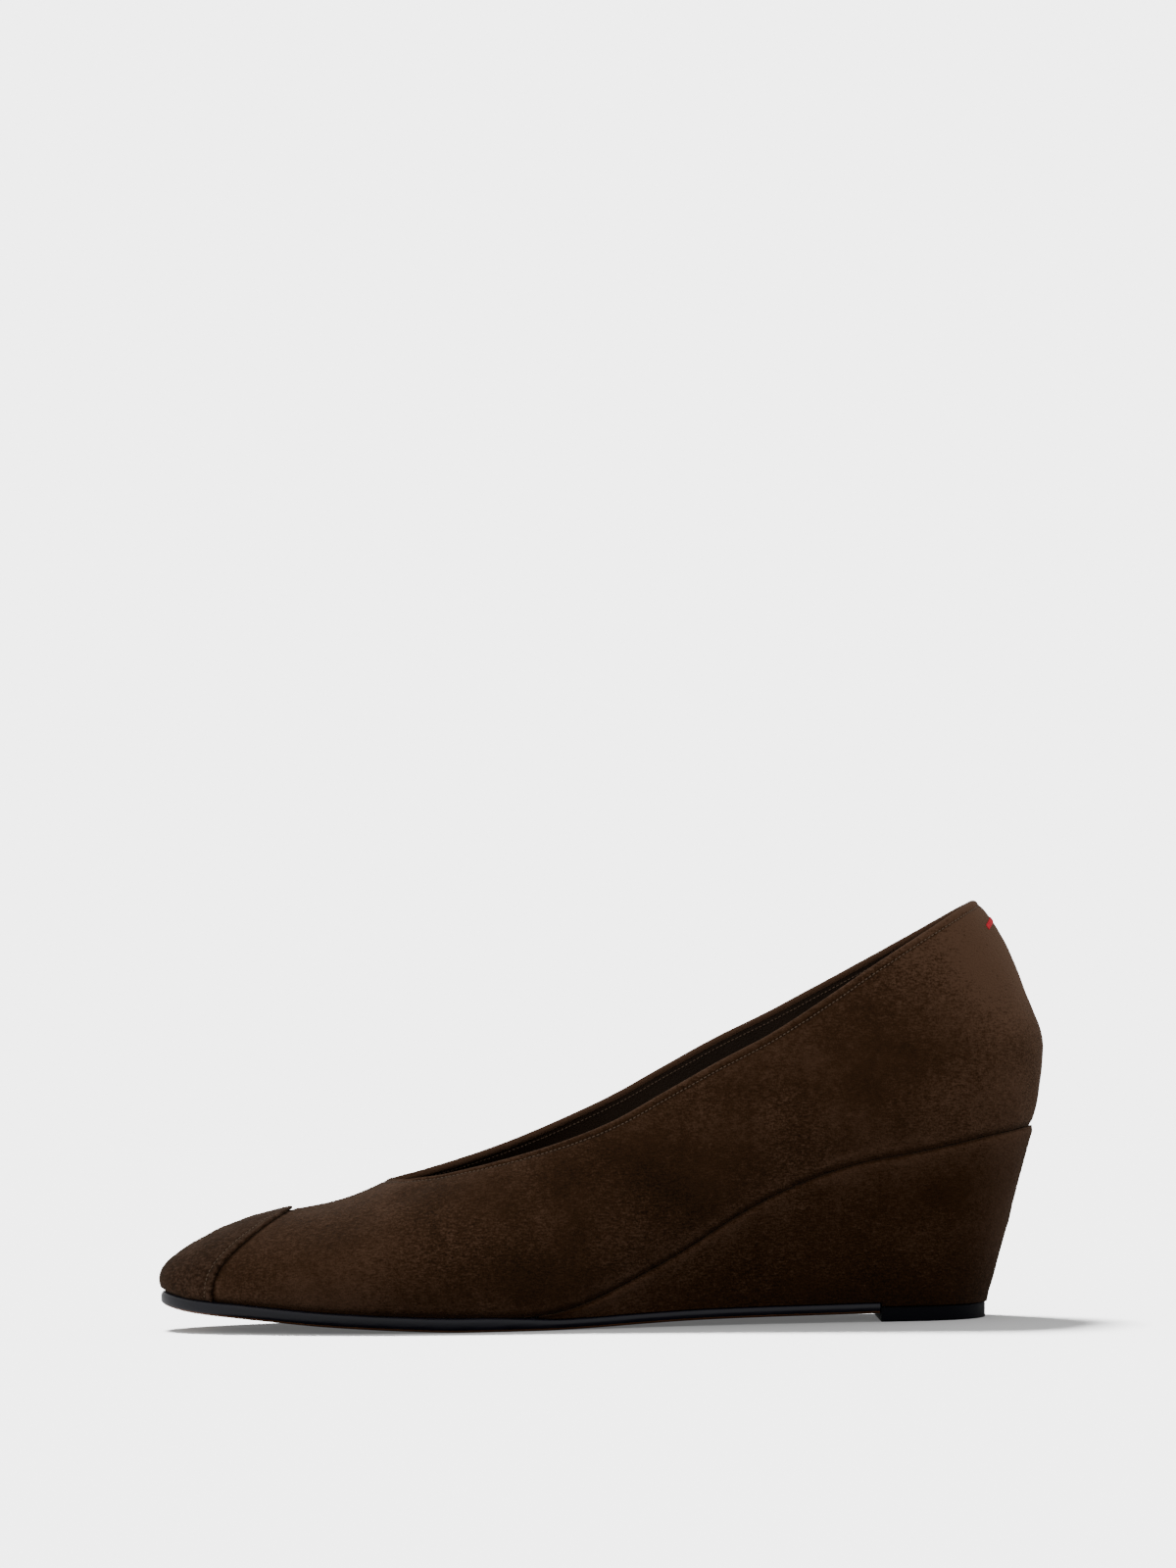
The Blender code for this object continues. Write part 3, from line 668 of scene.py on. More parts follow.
@functools.lru_cache(maxsize=None)
def cap_sheet():
    """The toe cap's place on the last, and its rear edge from side to side."""
    levels = np.concatenate((
        BELLY * np.linspace(0.0, 1.0, 9)[:-1] ** 1.4, np.linspace(BELLY, CREST, 37),
    ))
    grids = []
    edges = []
    back = EDGE_ROWS[EDGE_ROWS <= 4.7 * MM] / LAST_LENGTH
    tip = 1 - np.cos(np.linspace(0.0, math.pi / 2, 46))
    for side in (LATERAL, MEDIAL):
        ends = cap_stations(side, levels)
        ahead = tip[:-1, None] * (ends - back[-1])[None, :]
        behind = ends[None, :] - back[::-1, None]
        stations = np.concatenate((ahead, behind))
        grids.append((side, last_points(side, stations, levels[None, :])))
        edges.append(grids[-1][1][-1])
    edge = np.concatenate((edges[0], edges[1][-2::-1]))
    return joined_sheet(grids), dense(edge)


def rolled(edge, radius):
    """How far a rounded edge's skin lies inside the flat one, at distances from the edge."""
    short = np.clip(radius - edge, 0.0, radius)
    return radius - np.sqrt(radius ** 2 - short ** 2)


def placed(name, data):
    """A new object of the scene."""
    item = bpy.data.objects.new(name, data)
    bpy.context.scene.collection.objects.link(item)
    return item


def piece(name, points, faces, finishes, replaced=(), sharp=60):
    """Makes a closed mesh into a finished piece of the shoe."""
    data = bpy.data.meshes.new(name)
    data.from_pydata([tuple(point) for point in points], [], faces)
    mesh = bmesh.new()
    mesh.from_mesh(data)
    bmesh.ops.remove_doubles(mesh, verts=mesh.verts, dist=WELD / 5)
    bmesh.ops.dissolve_degenerate(mesh, dist=WELD / 10, edges=mesh.edges)
    mesh.to_mesh(data)
    mesh.free()
    data.shade_smooth()
    data.set_sharp_from_angle(angle=math.radians(sharp))
    for finish in finishes:
        data.materials.append(finish)
    return settle(placed(name, data), replaced)


def settle(item, replaced=()):
    """Fastens a finished piece to the shoe's body."""
    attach(item, BODY)
    if replaced:
        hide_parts(*replaced)
    return item


def shell_faces(sheet):
    """Faces of a closed skin whose outer points come first and whose inner ones follow."""
    count = len(sheet.points)
    faces = list(sheet.faces)
    faces += [[k + count for k in face[::-1]] for face in sheet.faces]
    faces += [[b, a, a + count, b + count] for a, b in sheet.border]
    return faces


def shell_points(sheet, outer, inner):
    return np.concatenate((
        sheet.points + sheet.normals * outer[:, None],
        sheet.points + sheet.normals * inner[:, None],
    ))


def paint(item, name, points, values):
    """Stores a value on each vertex of a piece, taken from the nearest of some points."""
    tree = tree_of(points)
    attribute = item.data.attributes.new(name, "FLOAT", "POINT")
    found = [values[tree.find(vertex.co)[1]] for vertex in item.data.vertices]
    attribute.data.foreach_set("value", np.array(found, np.float32))


class Graph:
    """Adds nodes to a tree. An input is given a value, a colour or another node's output."""

    def __init__(self, tree):
        self.tree = tree

    def add(self, kind, inputs=None, **settings):
        node = self.tree.nodes.new(kind)
        for key, value in settings.items():
            setattr(node, key, value)
        for key, value in (inputs or {}).items():
            if isinstance(value, bpy.types.NodeSocket):
                self.tree.links.new(value, node.inputs[key])
            else:
                node.inputs[key].default_value = value
        return node

    def noise(self, vector, scale, detail=2.0, roughness=0.5):
        inputs = {"Vector": vector, "Scale": scale, "Detail": detail, "Roughness": roughness}
        return self.add("ShaderNodeTexNoise", inputs).outputs["Fac"]

    def maths(self, operation, *values):
        inputs = dict(enumerate(values))
        return self.add("ShaderNodeMath", inputs, operation=operation).outputs[0]

    def mix(self, factor, a, b):
        inputs = {0: factor, 6: a, 7: b}
        return self.add("ShaderNodeMix", inputs, data_type="RGBA").outputs[2]

    def bump(self, height, distance, strength, below=None):
        inputs = {"Height": height, "Distance": distance, "Strength": strength}
        if below is not None:
            inputs["Normal"] = below
        return self.add("ShaderNodeBump", inputs).outputs["Normal"]


def new_finish(name, roughness, specular, **constants):
    """A material with a Principled shader, its graph and its object coordinates."""
    finish = bpy.data.materials.new(name)
    finish.use_nodes = True
    tree = finish.node_tree
    shader = tree.nodes["Principled BSDF"]
    shader.inputs["Roughness"].default_value = roughness
    shader.inputs["Specular IOR Level"].default_value = specular
    for key, value in constants.items():
        shader.inputs[key.replace("_", " ").title()].default_value = value
    graph = Graph(tree)
    place = graph.add("ShaderNodeTexCoord").outputs["Object"]
    return finish, shader, graph, place


def rgba(value, gain=1.0):
    return (*[min(1.0, channel * gain) for channel in value], 1.0)


def suede(name, base, contrast=1.0, coarse=1.0):
    """Brushed suede: soft patches where the nap lies another way, and fine flecks of nap."""
    finish, shader, graph, place = new_finish(
        name, roughness=0.95, specular=0.10, sheen_weight=0.12, sheen_roughness=0.5,
        sheen_tint=rgba(SHEEN_TINT))
    lay = graph.add("ShaderNodeMapping", {
        "Vector": place, "Rotation": STROKE_TURN, "Scale": STROKE_SCALE}).outputs[0]

    def layer(kind, vector=place, coarse=1.0):
        return graph.noise(vector, kind.scale / coarse, kind.detail, kind.roughness)

    blotches = layer(BLOTCHES)
    mottle = layer(MOTTLE, coarse=coarse)
    nap = layer(NAP, coarse=coarse)
    strokes = layer(STROKES, lay, coarse)
    brushing = graph.maths("MULTIPLY_ADD", layer(BRUSHING), BRUSHING.share, BRUSHING_FROM)
    share = PATCHES.share * contrast
    tone = graph.maths("MULTIPLY_ADD", layer(PATCHES), share, 0.5 - share / 2)
    fields = ((BLOTCHES, blotches), (MOTTLE, mottle), (NAP, nap), (STROKES, strokes))
    for kind, field in fields:
        shift = graph.maths("SUBTRACT", field, 0.5)
        if kind in (NAP, STROKES):
            shift = graph.maths("MULTIPLY", shift, brushing)
        tone = graph.maths("MULTIPLY_ADD", shift, kind.share * contrast, tone)
    # the piece's stored tone: patches of nap, and painted light and shade on edges, seams, grooves,
    # tops and low parts
    nap_and_painted_light = graph.add("ShaderNodeAttribute", attribute_name="nap_and_painted_light").outputs["Fac"]
    tone = graph.maths("ADD", tone, nap_and_painted_light)
    ramp = graph.add("ShaderNodeValToRGB", {"Fac": tone})
    gain, lift = PALE_NAP
    ramp.color_ramp.elements[0].color = rgba(base, DARK_NAP)
    ramp.color_ramp.elements[1].color = rgba([gain * channel + lift for channel in base])
    middle = ramp.color_ramp.elements.new(0.5)
    middle.color = rgba(base)
    graph.tree.links.new(ramp.outputs["Color"], shader.inputs["Base Color"])
    fine = graph.maths("MULTIPLY_ADD", strokes, 0.6, nap)
    rough = graph.bump(mottle, MOTTLE_DEPTH * coarse, strength=0.5)
    normal = graph.bump(fine, NAP_DEPTH * coarse, strength=0.85, below=rough)
    graph.tree.links.new(normal, shader.inputs["Normal"])
    return finish


def leather(name, base, roughness, grain, depth, specular=0.4, **constants):
    """Smooth leather with fine pores and a little unevenness of colour."""
    finish, shader, graph, place = new_finish(name, roughness, specular, **constants)
    cells = graph.add("ShaderNodeTexVoronoi", {"Vector": place, "Scale": grain}).outputs["Distance"]
    cloud = graph.noise(place, 60, 3.0)
    tint = graph.mix(cloud, rgba(base, 0.72), rgba(base, 1.3))
    graph.tree.links.new(tint, shader.inputs["Base Color"])
    gloss = graph.maths("MULTIPLY_ADD", cloud, 0.2, roughness - 0.1)
    graph.tree.links.new(gloss, shader.inputs["Roughness"])
    fine = graph.noise(place, grain * 1.7, 3.0)
    height = graph.maths("MULTIPLY_ADD", cells, 0.8, fine)
    graph.tree.links.new(graph.bump(height, depth, 0.6), shader.inputs["Normal"])
    return finish


def thread_finish(name, base):
    """Twisted thread."""
    finish, shader, graph, place = new_finish(name, roughness=0.6, specular=0.2)
    twist = graph.noise(place, 5200, 2.0)
    tint = graph.mix(twist, rgba(base, 0.6), rgba(base, 1.35))
    graph.tree.links.new(tint, shader.inputs["Base Color"])
    graph.tree.links.new(graph.bump(twist, 0.05 * MM, 0.6), shader.inputs["Normal"])
    return finish


def painted_edge(name, base):
    """Edge paint over stacked leather: nearly smooth, with faint long scuffs."""
    finish, shader, graph, place = new_finish(name, roughness=0.36, specular=0.35)
    lay = graph.add("ShaderNodeMapping", {"Vector": place, "Scale": (0.12, 1.0, 1.0)})
    lines = graph.noise(lay.outputs[0], 900, 3.0)
    cloud = graph.noise(place, 120, 3.0)
    tint = graph.mix(cloud, rgba(base, 0.65), rgba(base, 1.45))
    graph.tree.links.new(tint, shader.inputs["Base Color"])
    gloss = graph.maths("MULTIPLY_ADD", cloud, 0.3, 0.2)
    graph.tree.links.new(gloss, shader.inputs["Roughness"])
    graph.tree.links.new(graph.bump(lines, 0.10 * MM, 0.5), shader.inputs["Normal"])
    return finish


def finish_named(name, make, *values, **more):
    """A material that several pieces share, made when it is first asked for."""
    return bpy.data.materials.get(name) or make(name, *values, **more)


def edge_path(name, edge, inset, surface, proud):
    """A row of points on a surface, a set distance inside an edge, with the surface's normal."""
    tree = BVHTree.FromObject(surface, bpy.context.evaluated_depsgraph_get())
    points = []
    normals = []
    for point, inward in zip(edge, inset):
        place, normal, _, _ = tree.find_nearest(Vector(point + inward))
        points.append(np.array(place) + np.array(normal) * proud)
        normals.append(np.array(normal))
    return path_mesh(name, points, normals)


def path_mesh(name, points, normals):
    """A line of edges that carries the direction away from the surface."""
    data = bpy.data.meshes.new(name)
    data.from_pydata([tuple(p) for p in points], [(k, k + 1) for k in range(len(points) - 1)], [])
    up = data.attributes.new("up", "FLOAT_VECTOR", "POINT")
    up.data.foreach_set("vector", np.array(normals, np.float32).ravel())
    return placed(name, data)


def new_node_tree(name, sockets):
    """An empty Geometry Nodes tree with named inputs."""
    tree = bpy.data.node_groups.new(name, "GeometryNodeTree")
    tree.interface.new_socket("Geometry", in_out="INPUT", socket_type="NodeSocketGeometry")
    tree.interface.new_socket("Geometry", in_out="OUTPUT", socket_type="NodeSocketGeometry")
    for label, kind in sockets:
        tree.interface.new_socket(label, in_out="INPUT", socket_type="NodeSocket" + kind)
    graph = Graph(tree)
    return tree, graph, graph.add("NodeGroupInput").outputs, graph.add("NodeGroupOutput").inputs


def stitch_tree():
    """Rounded stitches at even steps along a path, turned on it by an angle."""
    tree, graph, given, result = new_node_tree("Stitch row", (
        ("Pitch", "Float"), ("Length", "Float"), ("Width", "Float"), ("Turn", "Float"),
        ("Material", "Material")))
    curve = graph.add("GeometryNodeMeshToCurve", {"Mesh": given["Geometry"]}).outputs[0]
    places = graph.add(
        "GeometryNodeResampleCurve", {"Curve": curve, "Length": given["Pitch"]}, mode="LENGTH")
    up = graph.add("GeometryNodeInputNamedAttribute", {"Name": "up"}, data_type="FLOAT_VECTOR")
    along = graph.add("GeometryNodeInputTangent").outputs[0]
    frame_turn = graph.add(
        "FunctionNodeAxesToRotation", {0: up.outputs[0], 1: along}, primary_axis="Z",
        secondary_axis="X").outputs[0]
    own_turn = graph.add(
        "FunctionNodeAxisAngleToRotation", {"Axis": (0.0, 0.0, 1.0), "Angle": given["Turn"]})
    turn = graph.add(
        "FunctionNodeRotateRotation", {0: frame_turn, 1: own_turn.outputs[0]},
        rotation_space="LOCAL").outputs[0]
    bead = graph.add(
        "GeometryNodeMeshUVSphere", {"Segments": 7, "Rings": 6, "Radius": 0.5}).outputs[0]
    size = graph.add(
        "ShaderNodeCombineXYZ", {"X": given["Length"], "Y": given["Width"], "Z": given["Width"]})
    rows = graph.add("GeometryNodeInstanceOnPoints", {
        "Points": places.outputs[0], "Instance": bead, "Rotation": turn, "Scale": size.outputs[0]})
    real = graph.add("GeometryNodeRealizeInstances", {0: rows.outputs[0]}).outputs[0]
    round_off = graph.add("GeometryNodeSetShadeSmooth", {0: real}).outputs[0]
    painted = graph.add(
        "GeometryNodeSetMaterial", {"Geometry": round_off, "Material": given["Material"]})
    tree.links.new(painted.outputs[0], result["Geometry"])
    return tree


HAIR_LEAN = 1.15                # radians, at most
SHORTEST_HAIR = 0.35            # share of the longest


def hair_tree():
    """Loose hairs of the nap on a surface, most where its attribute fuzz is high."""
    tree, graph, given, result = new_node_tree("Nap hairs", (
        ("Density", "Float"), ("Length", "Float"), ("Width", "Float"), ("Seed", "Int"),
        ("Material", "Material")))
    fuzz = graph.add("GeometryNodeInputNamedAttribute", {"Name": "fuzz"}, data_type="FLOAT")
    density = graph.maths("MULTIPLY", fuzz.outputs[0], given["Density"])
    places = graph.add("GeometryNodeDistributePointsOnFaces", {
        "Mesh": given["Geometry"], "Density": density, "Seed": given["Seed"]})
    hair = graph.add("GeometryNodeMeshCone", {
        "Vertices": 3, "Radius Top": 0.08, "Radius Bottom": 0.5, "Depth": 1.0}).outputs["Mesh"]
    lean = graph.add("FunctionNodeRandomValue", {
        0: (-HAIR_LEAN, -HAIR_LEAN, 0.0), 1: (HAIR_LEAN, HAIR_LEAN, 6.28), "Seed": given["Seed"],
    }, data_type="FLOAT_VECTOR").outputs[0]
    turn = graph.add("FunctionNodeRotateRotation", {
        0: places.outputs["Rotation"], 1: lean}, rotation_space="LOCAL").outputs[0]
    share = graph.add(
        "FunctionNodeRandomValue", {2: SHORTEST_HAIR, 3: 1.0, "Seed": given["Seed"]},
        data_type="FLOAT")
    length = graph.maths("MULTIPLY", given["Length"], share.outputs[1])
    size = graph.add(
        "ShaderNodeCombineXYZ", {"X": given["Width"], "Y": given["Width"], "Z": length})
    hairs = graph.add("GeometryNodeInstanceOnPoints", {
        "Points": places.outputs["Points"], "Instance": hair, "Rotation": turn,
        "Scale": size.outputs[0]})
    real = graph.add("GeometryNodeRealizeInstances", {0: hairs.outputs[0]}).outputs[0]
    painted = graph.add(
        "GeometryNodeSetMaterial", {"Geometry": real, "Material": given["Material"]})
    tree.links.new(painted.outputs[0], result["Geometry"])
    return tree


def grown(name, carrier, make_tree, inputs, finish):
    """Runs a node tree on an object and keeps the result as a piece of its own."""
    tree = make_tree()
    modifier = carrier.modifiers.new(tree.name, "NODES")
    modifier.node_group = tree
    inputs = {**inputs, "Material": finish}
    for socket in tree.interface.items_tree:
        if socket.in_out == "INPUT" and socket.name in inputs:
            modifier[socket.identifier] = inputs[socket.name]
    data = bpy.data.meshes.new_from_object(
        carrier.evaluated_get(bpy.context.evaluated_depsgraph_get()))
    carrier.modifiers.remove(modifier)
    if not data.polygons:
        raise RuntimeError(f"{name}: the node tree made nothing")
    data.name = name
    if not data.materials:
        data.materials.append(finish)
    return settle(placed(name, data))


def stitched(name, path, pitch, length, width, turn, finish):
    """A row of stitches along a path, whose line is then removed."""
    values = {"Pitch": pitch, "Length": length, "Width": width, "Turn": turn}
    item = grown(name, path, stitch_tree, values, finish)
    bpy.data.objects.remove(path)
    return item


def sheet_inward(sheet, edge, inset):
    """At each point of an edge, the step along the surface away from that edge."""
    tree = tree_of(sheet.points)
    normals = np.array([sheet.normals[tree.find(point)[1]] for point in edge])
    closed = np.linalg.norm(edge[0] - edge[-1]) < 1 * MM
    if closed:
        along = np.roll(edge[:-1], -1, axis=0) - np.roll(edge[:-1], 1, axis=0)
        along = np.concatenate((along, along[:1]))
    else:
        along = np.gradient(edge, axis=0)
    step = np.cross(along, normals)
    step /= np.linalg.norm(step, axis=1)[:, None]
    place = edge[len(edge) // 3]
    trial = step[len(edge) // 3] * inset
    near, far = nearness([place + trial, place - trial], sheet.points)[0]
    return (step if near < far else -step) * inset, normals


class WEDGEPUMP_OT_upper(bpy.types.Operator):
    """Make the suede upper with its folded topline, and the lining behind it"""

    bl_idname = "wedge_pump.upper"
    bl_label = "Upper and lining"

    STEPS = (60, 34, 84, 40)
    BODY_ROWS = 26
    LINING_STEPS = (28, 26, 44, 22)
    LINING_ROWS = 12
    LUMPS = ((19, 3, 1.0), (8, 4, 0.6))
    BAND = 1.45 * MM            # depth of the folded suede inside
    BAND_STEP = 0.2 * MM
    CALM = 1.2 * MM             # beside the fold, where the relief fades
    PAINTED_LIGHT_INSIDE = 0.6           # painted light on the fold's inside
    PAINTED_LIGHT_ON_TOP = 0.04             # painted light on the nap that faces up
    FACES_UP = (0.35, 0.95)
    TUCK_SHADE = 0.3
    FUZZ = 0.07
    FUZZY_EDGE = 1.6 * MM
    GROOVE = (0.42 * MM, 0.22 * MM)     # half width and depth of the stitches' groove
    GROOVE_SHADE = (0.40 * MM, 0.36)
    FOOT = (1.6 * MM, 0.35 * MM)        # height and depth of the turn at the feather edge
    BACK_SEAM = (80 * MM, 90 * MM)      # where the back seam's relief starts

    def execute(self, context):
        sheet, rim = upper_sheet(self.STEPS, self.BODY_ROWS)
        check_last(sheet)
        points = sheet.points
        edge, _ = nearness(points, rim)
        to_cap, _ = nearness(points, cap_sheet()[1])
        above = above_feather(points)
        stitch = sizes().stitch_inset
        relief = sizes().lump * uneven(points, self.LUMPS) + creased(sheet)
        relief += MM * (bands(edge, FOLD_RELIEF) + bands(to_cap, CAP_LINE_RELIEF))
        relief -= self.GROOVE[1] * bell(edge, stitch, self.GROOVE[0])
        relief -= self.FOOT[1] * fade(above, 0.0, self.FOOT[0])
        off_seam = np.abs(points[:, 1] - CENTRE_LINE_Y)
        relief += MM * ease(points[:, 0], *self.BACK_SEAM) * bands(off_seam, SEAM_RELIEF)
        fold = rolled(edge, WALL / 2)
        outer = relief * ease(edge, 0.0, self.CALM) - fold
        inside = ease(edge, self.BAND, self.BAND + self.BAND_STEP)
        inner = fold - WALL + (WALL - SUEDE) * inside
        finish = finish_named("upper_nap", suede, tuple(colours().suede))
        both = shell_points(sheet, outer, inner)
        item = piece(
            "upper_suede", both, shell_faces(sheet), [finish], ["upper"])
        # painted highlights and painted shade on the fold, lip, cap line, groove and tuck, painted
        # light on up-facing nap and the fold's inside, and nap patches
        nap_and_painted_light = bands(edge, FOLD_HIGHLIGHT) + bands(to_cap, CAP_LINE_SHADE_AND_HIGHLIGHT) + bands(above, FOOT_HIGHLIGHT)
        nap_and_painted_light -= self.GROOVE_SHADE[1] * bell(edge, stitch, self.GROOVE_SHADE[0])
        nap_and_painted_light -= self.TUCK_SHADE * fade(above, *TUCK)
        nap_and_painted_light += self.PAINTED_LIGHT_ON_TOP * ease(sheet.normals[:, 2], *self.FACES_UP) + nap_patches_and_painted_light(points)
        paint(item, "nap_and_painted_light", both, np.concatenate((nap_and_painted_light, nap_and_painted_light + self.PAINTED_LIGHT_INSIDE)))
        paint(item, "fuzz", points, self.FUZZ + bell(edge, 0.0, self.FUZZY_EDGE))
        self.add_lining()
        return {"FINISHED"}

    def add_lining(self):
        """The lining stops under the fold of the suede."""
        sheet, rim = upper_sheet(self.LINING_STEPS, self.LINING_ROWS)
        edge, nearest = nearness(sheet.points, rim)
        part, used = sheet.kept(edge > self.BAND)
        away = part.points - nearest[used]
        away /= np.linalg.norm(away, axis=1)[:, None]
        border = sorted({k for pair in part.border for k in pair if edge[used][k] < 3 * MM})
        part.points[border] = nearest[used][border] + away[border] * self.BAND
        count = len(part.points)
        finish = finish_named(
            "lining_leather", leather, tuple(colours().lining), roughness=0.62, grain=1500,
            depth=0.10 * MM)
        piece(
            "upper_lining",
            shell_points(part, np.full(count, -LINING_FRONT), np.full(count, -LINING_BACK)),
            shell_faces(part), [finish], ["upper"])


MISFIT = 0.6 * MM


def check_last(sheet):
    """Stops if the last in this file isn't the one that the solid upper was cut from."""
    low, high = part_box("upper")
    miss = max(np.abs(sheet.points.min(0) - low).max(), np.abs(sheet.points.max(0) - high).max())
    if miss > MISFIT:
        raise RuntimeError(f"the last misses the solid upper by {miss / MM:.2f} mm")


class WEDGEPUMP_OT_toe_cap(bpy.types.Operator):
    """Make the suede toe cap with its turned and stitched rear edge"""

    bl_idname = "wedge_pump.toe_cap"
    bl_label = "Toe cap"

    INNER = 0.06 * MM           # over the upper's skin
    OUTER = 1.0 * MM
    CALM = 0.6 * MM
    TUCK_SHADE = 0.25
    FUZZ = 0.25
    FUZZY_EDGE = 1.5 * MM
    LUMP = 0.07 * MM
    LUMPS = ((9, 11, 1.0),)
    FOOT = (1.5 * MM, 0.5 * MM)

    def execute(self, context):
        sheet, rear = cap_sheet()
        points = sheet.points
        edge, _ = nearness(points, rear)
        above = above_feather(points)
        radius = (self.OUTER - self.INNER) / 2
        fold = rolled(edge, radius)
        relief = self.LUMP * uneven(points, self.LUMPS) + MM * bands(edge, CAP_RELIEF)
        relief -= self.FOOT[1] * fade(above, 0.0, self.FOOT[0])
        outer = self.OUTER - fold + relief * ease(edge, 0.0, self.CALM)
        inner = self.INNER + fold
        outer = np.maximum(outer, inner)
        finish = finish_named(
            "toe_cap_nap", suede, tuple(colours().cap), contrast=1.5, coarse=1.35)
        item = piece(
            "toe_cap_suede", shell_points(sheet, outer, inner), shell_faces(sheet), [finish],
            ["toe_cap"])
        # painted highlight on the rolled edge, painted shade in the stitch groove and at the tuck
        nap_and_painted_light = bands(edge, CAP_EDGE_HIGHLIGHT_AND_SHADE) - self.TUCK_SHADE * fade(above, *TUCK)
        paint(item, "nap_and_painted_light", points, nap_and_painted_light)
        paint(item, "fuzz", points, self.FUZZ + bell(edge, 0.0, self.FUZZY_EDGE))
        return {"FINISHED"}


class WEDGEPUMP_OT_stitches(bpy.types.Operator):
    """Sew the topline, the lining and the toe cap"""

    bl_idname = "wedge_pump.stitches"
    bl_label = "Stitches"

    LINING_STITCH = 2.7 * MM
    EVERY = 5                   # points of a dense line that a path skips to
    CAP_ENDS = 12               # points at the ends of the cap's edge without stitches
    STITCH = 0.80               # share of the pitch
    SLANT = math.radians(4)

    def execute(self, context):
        size = sizes()
        brown = finish_named("brown_thread", thread_finish, tuple(colours().thread))
        upper = bpy.data.objects["upper_suede"]
        lining = bpy.data.objects["upper_lining"]
        cap = bpy.data.objects["toe_cap_suede"]
        sheet, rim = upper_sheet(WEDGEPUMP_OT_upper.STEPS, WEDGEPUMP_OT_upper.BODY_ROWS)
        rim = rim[::self.EVERY]
        inset, normals = sheet_inward(sheet, rim, size.stitch_inset)
        self.row("topline_stitches", rim, inset, upper, brown, proud=0.02 * MM)
        deeper = inset * (self.LINING_STITCH / size.stitch_inset) - normals * WALL
        self.row("lining_stitches", rim, deeper, lining, brown, proud=0.05 * MM)
        front, edge = cap_sheet()
        edge = edge[self.CAP_ENDS:-self.CAP_ENDS:self.EVERY]
        inset, normals = sheet_inward(front, edge, CAP_STITCH * MM)
        inset = inset + normals * WEDGEPUMP_OT_toe_cap.OUTER
        self.row("cap_stitches", edge, inset, cap, brown, proud=0.0)
        return {"FINISHED"}

    def row(self, name, edge, inset, surface, finish, proud):
        path = edge_path(name + "_path", edge, inset, surface, proud)
        pitch = sizes().stitch_pitch
        stitched(
            name, path, pitch, self.STITCH * pitch, sizes().thread, self.SLANT, finish)


class WEDGEPUMP_OT_bar_tack(bpy.types.Operator):
    """Sew the plain red bar tack across the top of the back seam"""

    bl_idname = "wedge_pump.bar_tack"
    bl_label = "Bar tack"

    PITCH = 0.30 * MM
    THREAD = 1.5                # share of the pitch, so that the stitches touch
    SLANT = math.radians(82)
    STEPS = 41
    PROUD = 0.08 * MM
    DIP = 2.4 * MM              # its ends lie lower than its middle

    def execute(self, context):
        size = sizes()
        upper = bpy.data.objects["upper_suede"]
        tree = BVHTree.FromObject(upper, bpy.context.evaluated_depsgraph_get())
        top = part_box("upper")[1].z - size.tack_drop
        points = []
        normals = []
        for share in np.linspace(-1.0, 1.0, self.STEPS):
            y = share * size.tack_length / 2
            start = Vector((LAST_LENGTH, CENTRE_LINE_Y + y, top - self.DIP * share * share))
            place, normal, _, _ = tree.ray_cast(start, Vector((-1, 0, 0)))
            points.append(np.array(place) + np.array(normal) * self.PROUD)
            normals.append(np.array(normal))
        path = path_mesh("bar_tack_path", points, normals)
        red = finish_named("red_thread", thread_finish, tuple(colours().tack))
        stitched(
            "bar_tack", path, self.PITCH, size.tack_height, self.THREAD * self.PITCH, self.SLANT,
            red)
        return {"FINISHED"}


def offset_line(points, distance):
    """Moves the points of a line in plan sideways, to the left of its direction."""
    along = np.zeros_like(points)
    along[1:-1] = points[2:] - points[:-2]
    along[0] = points[1] - points[0]
    along[-1] = points[-1] - points[-2]
    for k in (0, -1):
        if abs(points[k, 1]) < TINY:
            along[k, 0] = 0.0
    along /= np.linalg.norm(along, axis=1)[:, None]
    return points + np.stack((-along[:, 1], along[:, 0]), axis=1) * distance


def plan(side, stations, outline, distance):
    """One side of an outline in plan, moved outwards, as seen about the last's centre line."""
    x, y = outline(side, stations)
    return offset_line(np.stack((x, y), axis=1), side * distance)


def feather_outline(side, station):
    return station_x(station), side * feather_half(side, station)


def foot_x(station):
    return station_x(station) - BACK_TAPER * heel_fade(station)


def sole_top(station):
    return sole_low(station) + sole_thickness(station)


def foot_outline(side, station):
    """The wedge's foot in plan: its sides and back lean in where the wedge is tall."""
    tall = feather_z(station) - 2 * GAP - sole_top(station)
    taper = WEDGE_TAPER * np.clip(tall / HEEL_RISE, 0.0, 1.0) * round_heel(station)
    return foot_x(station), side * (feather_half(side, station) - taper)


def past_tip(station):
    """0 in front of the wedge's tip and 1 behind it."""
    return ease(station, WEDGE_TIP - TIP_BLEND, WEDGE_TIP + TIP_BLEND)


def sole_outline(side, station):
    """The sole follows the feather edge in front and the wedge's foot behind."""
    behind = past_tip(station)
    front_x, front_y = feather_outline(side, station)
    back_x, back_y = foot_outline(side, station)
    return front_x + (back_x - front_x) * behind, front_y + (back_y - front_y) * behind


def foot_station(x):
    """The station at which the wedge's foot passes x."""
    return float(solve(lambda station: foot_x(station) - x, 0.6, 1.0))


def round_profile(top_round, foot_round, steps=5):
    """Insets and heights of a rounded edge from its top to its foot. A height of 0 to 1 is a share
    of the edge's straight part, and the rest is added to it."""
    turns = np.linspace(0.0, math.pi / 2, steps + 1)
    top = [(top_round * (1 - math.sin(t)), 1.0, top_round * (math.cos(t) - 1)) for t in turns]
    foot = [(foot_round * (1 - math.cos(t)), 0.0, foot_round * (1 - math.sin(t))) for t in turns]
    return top + foot


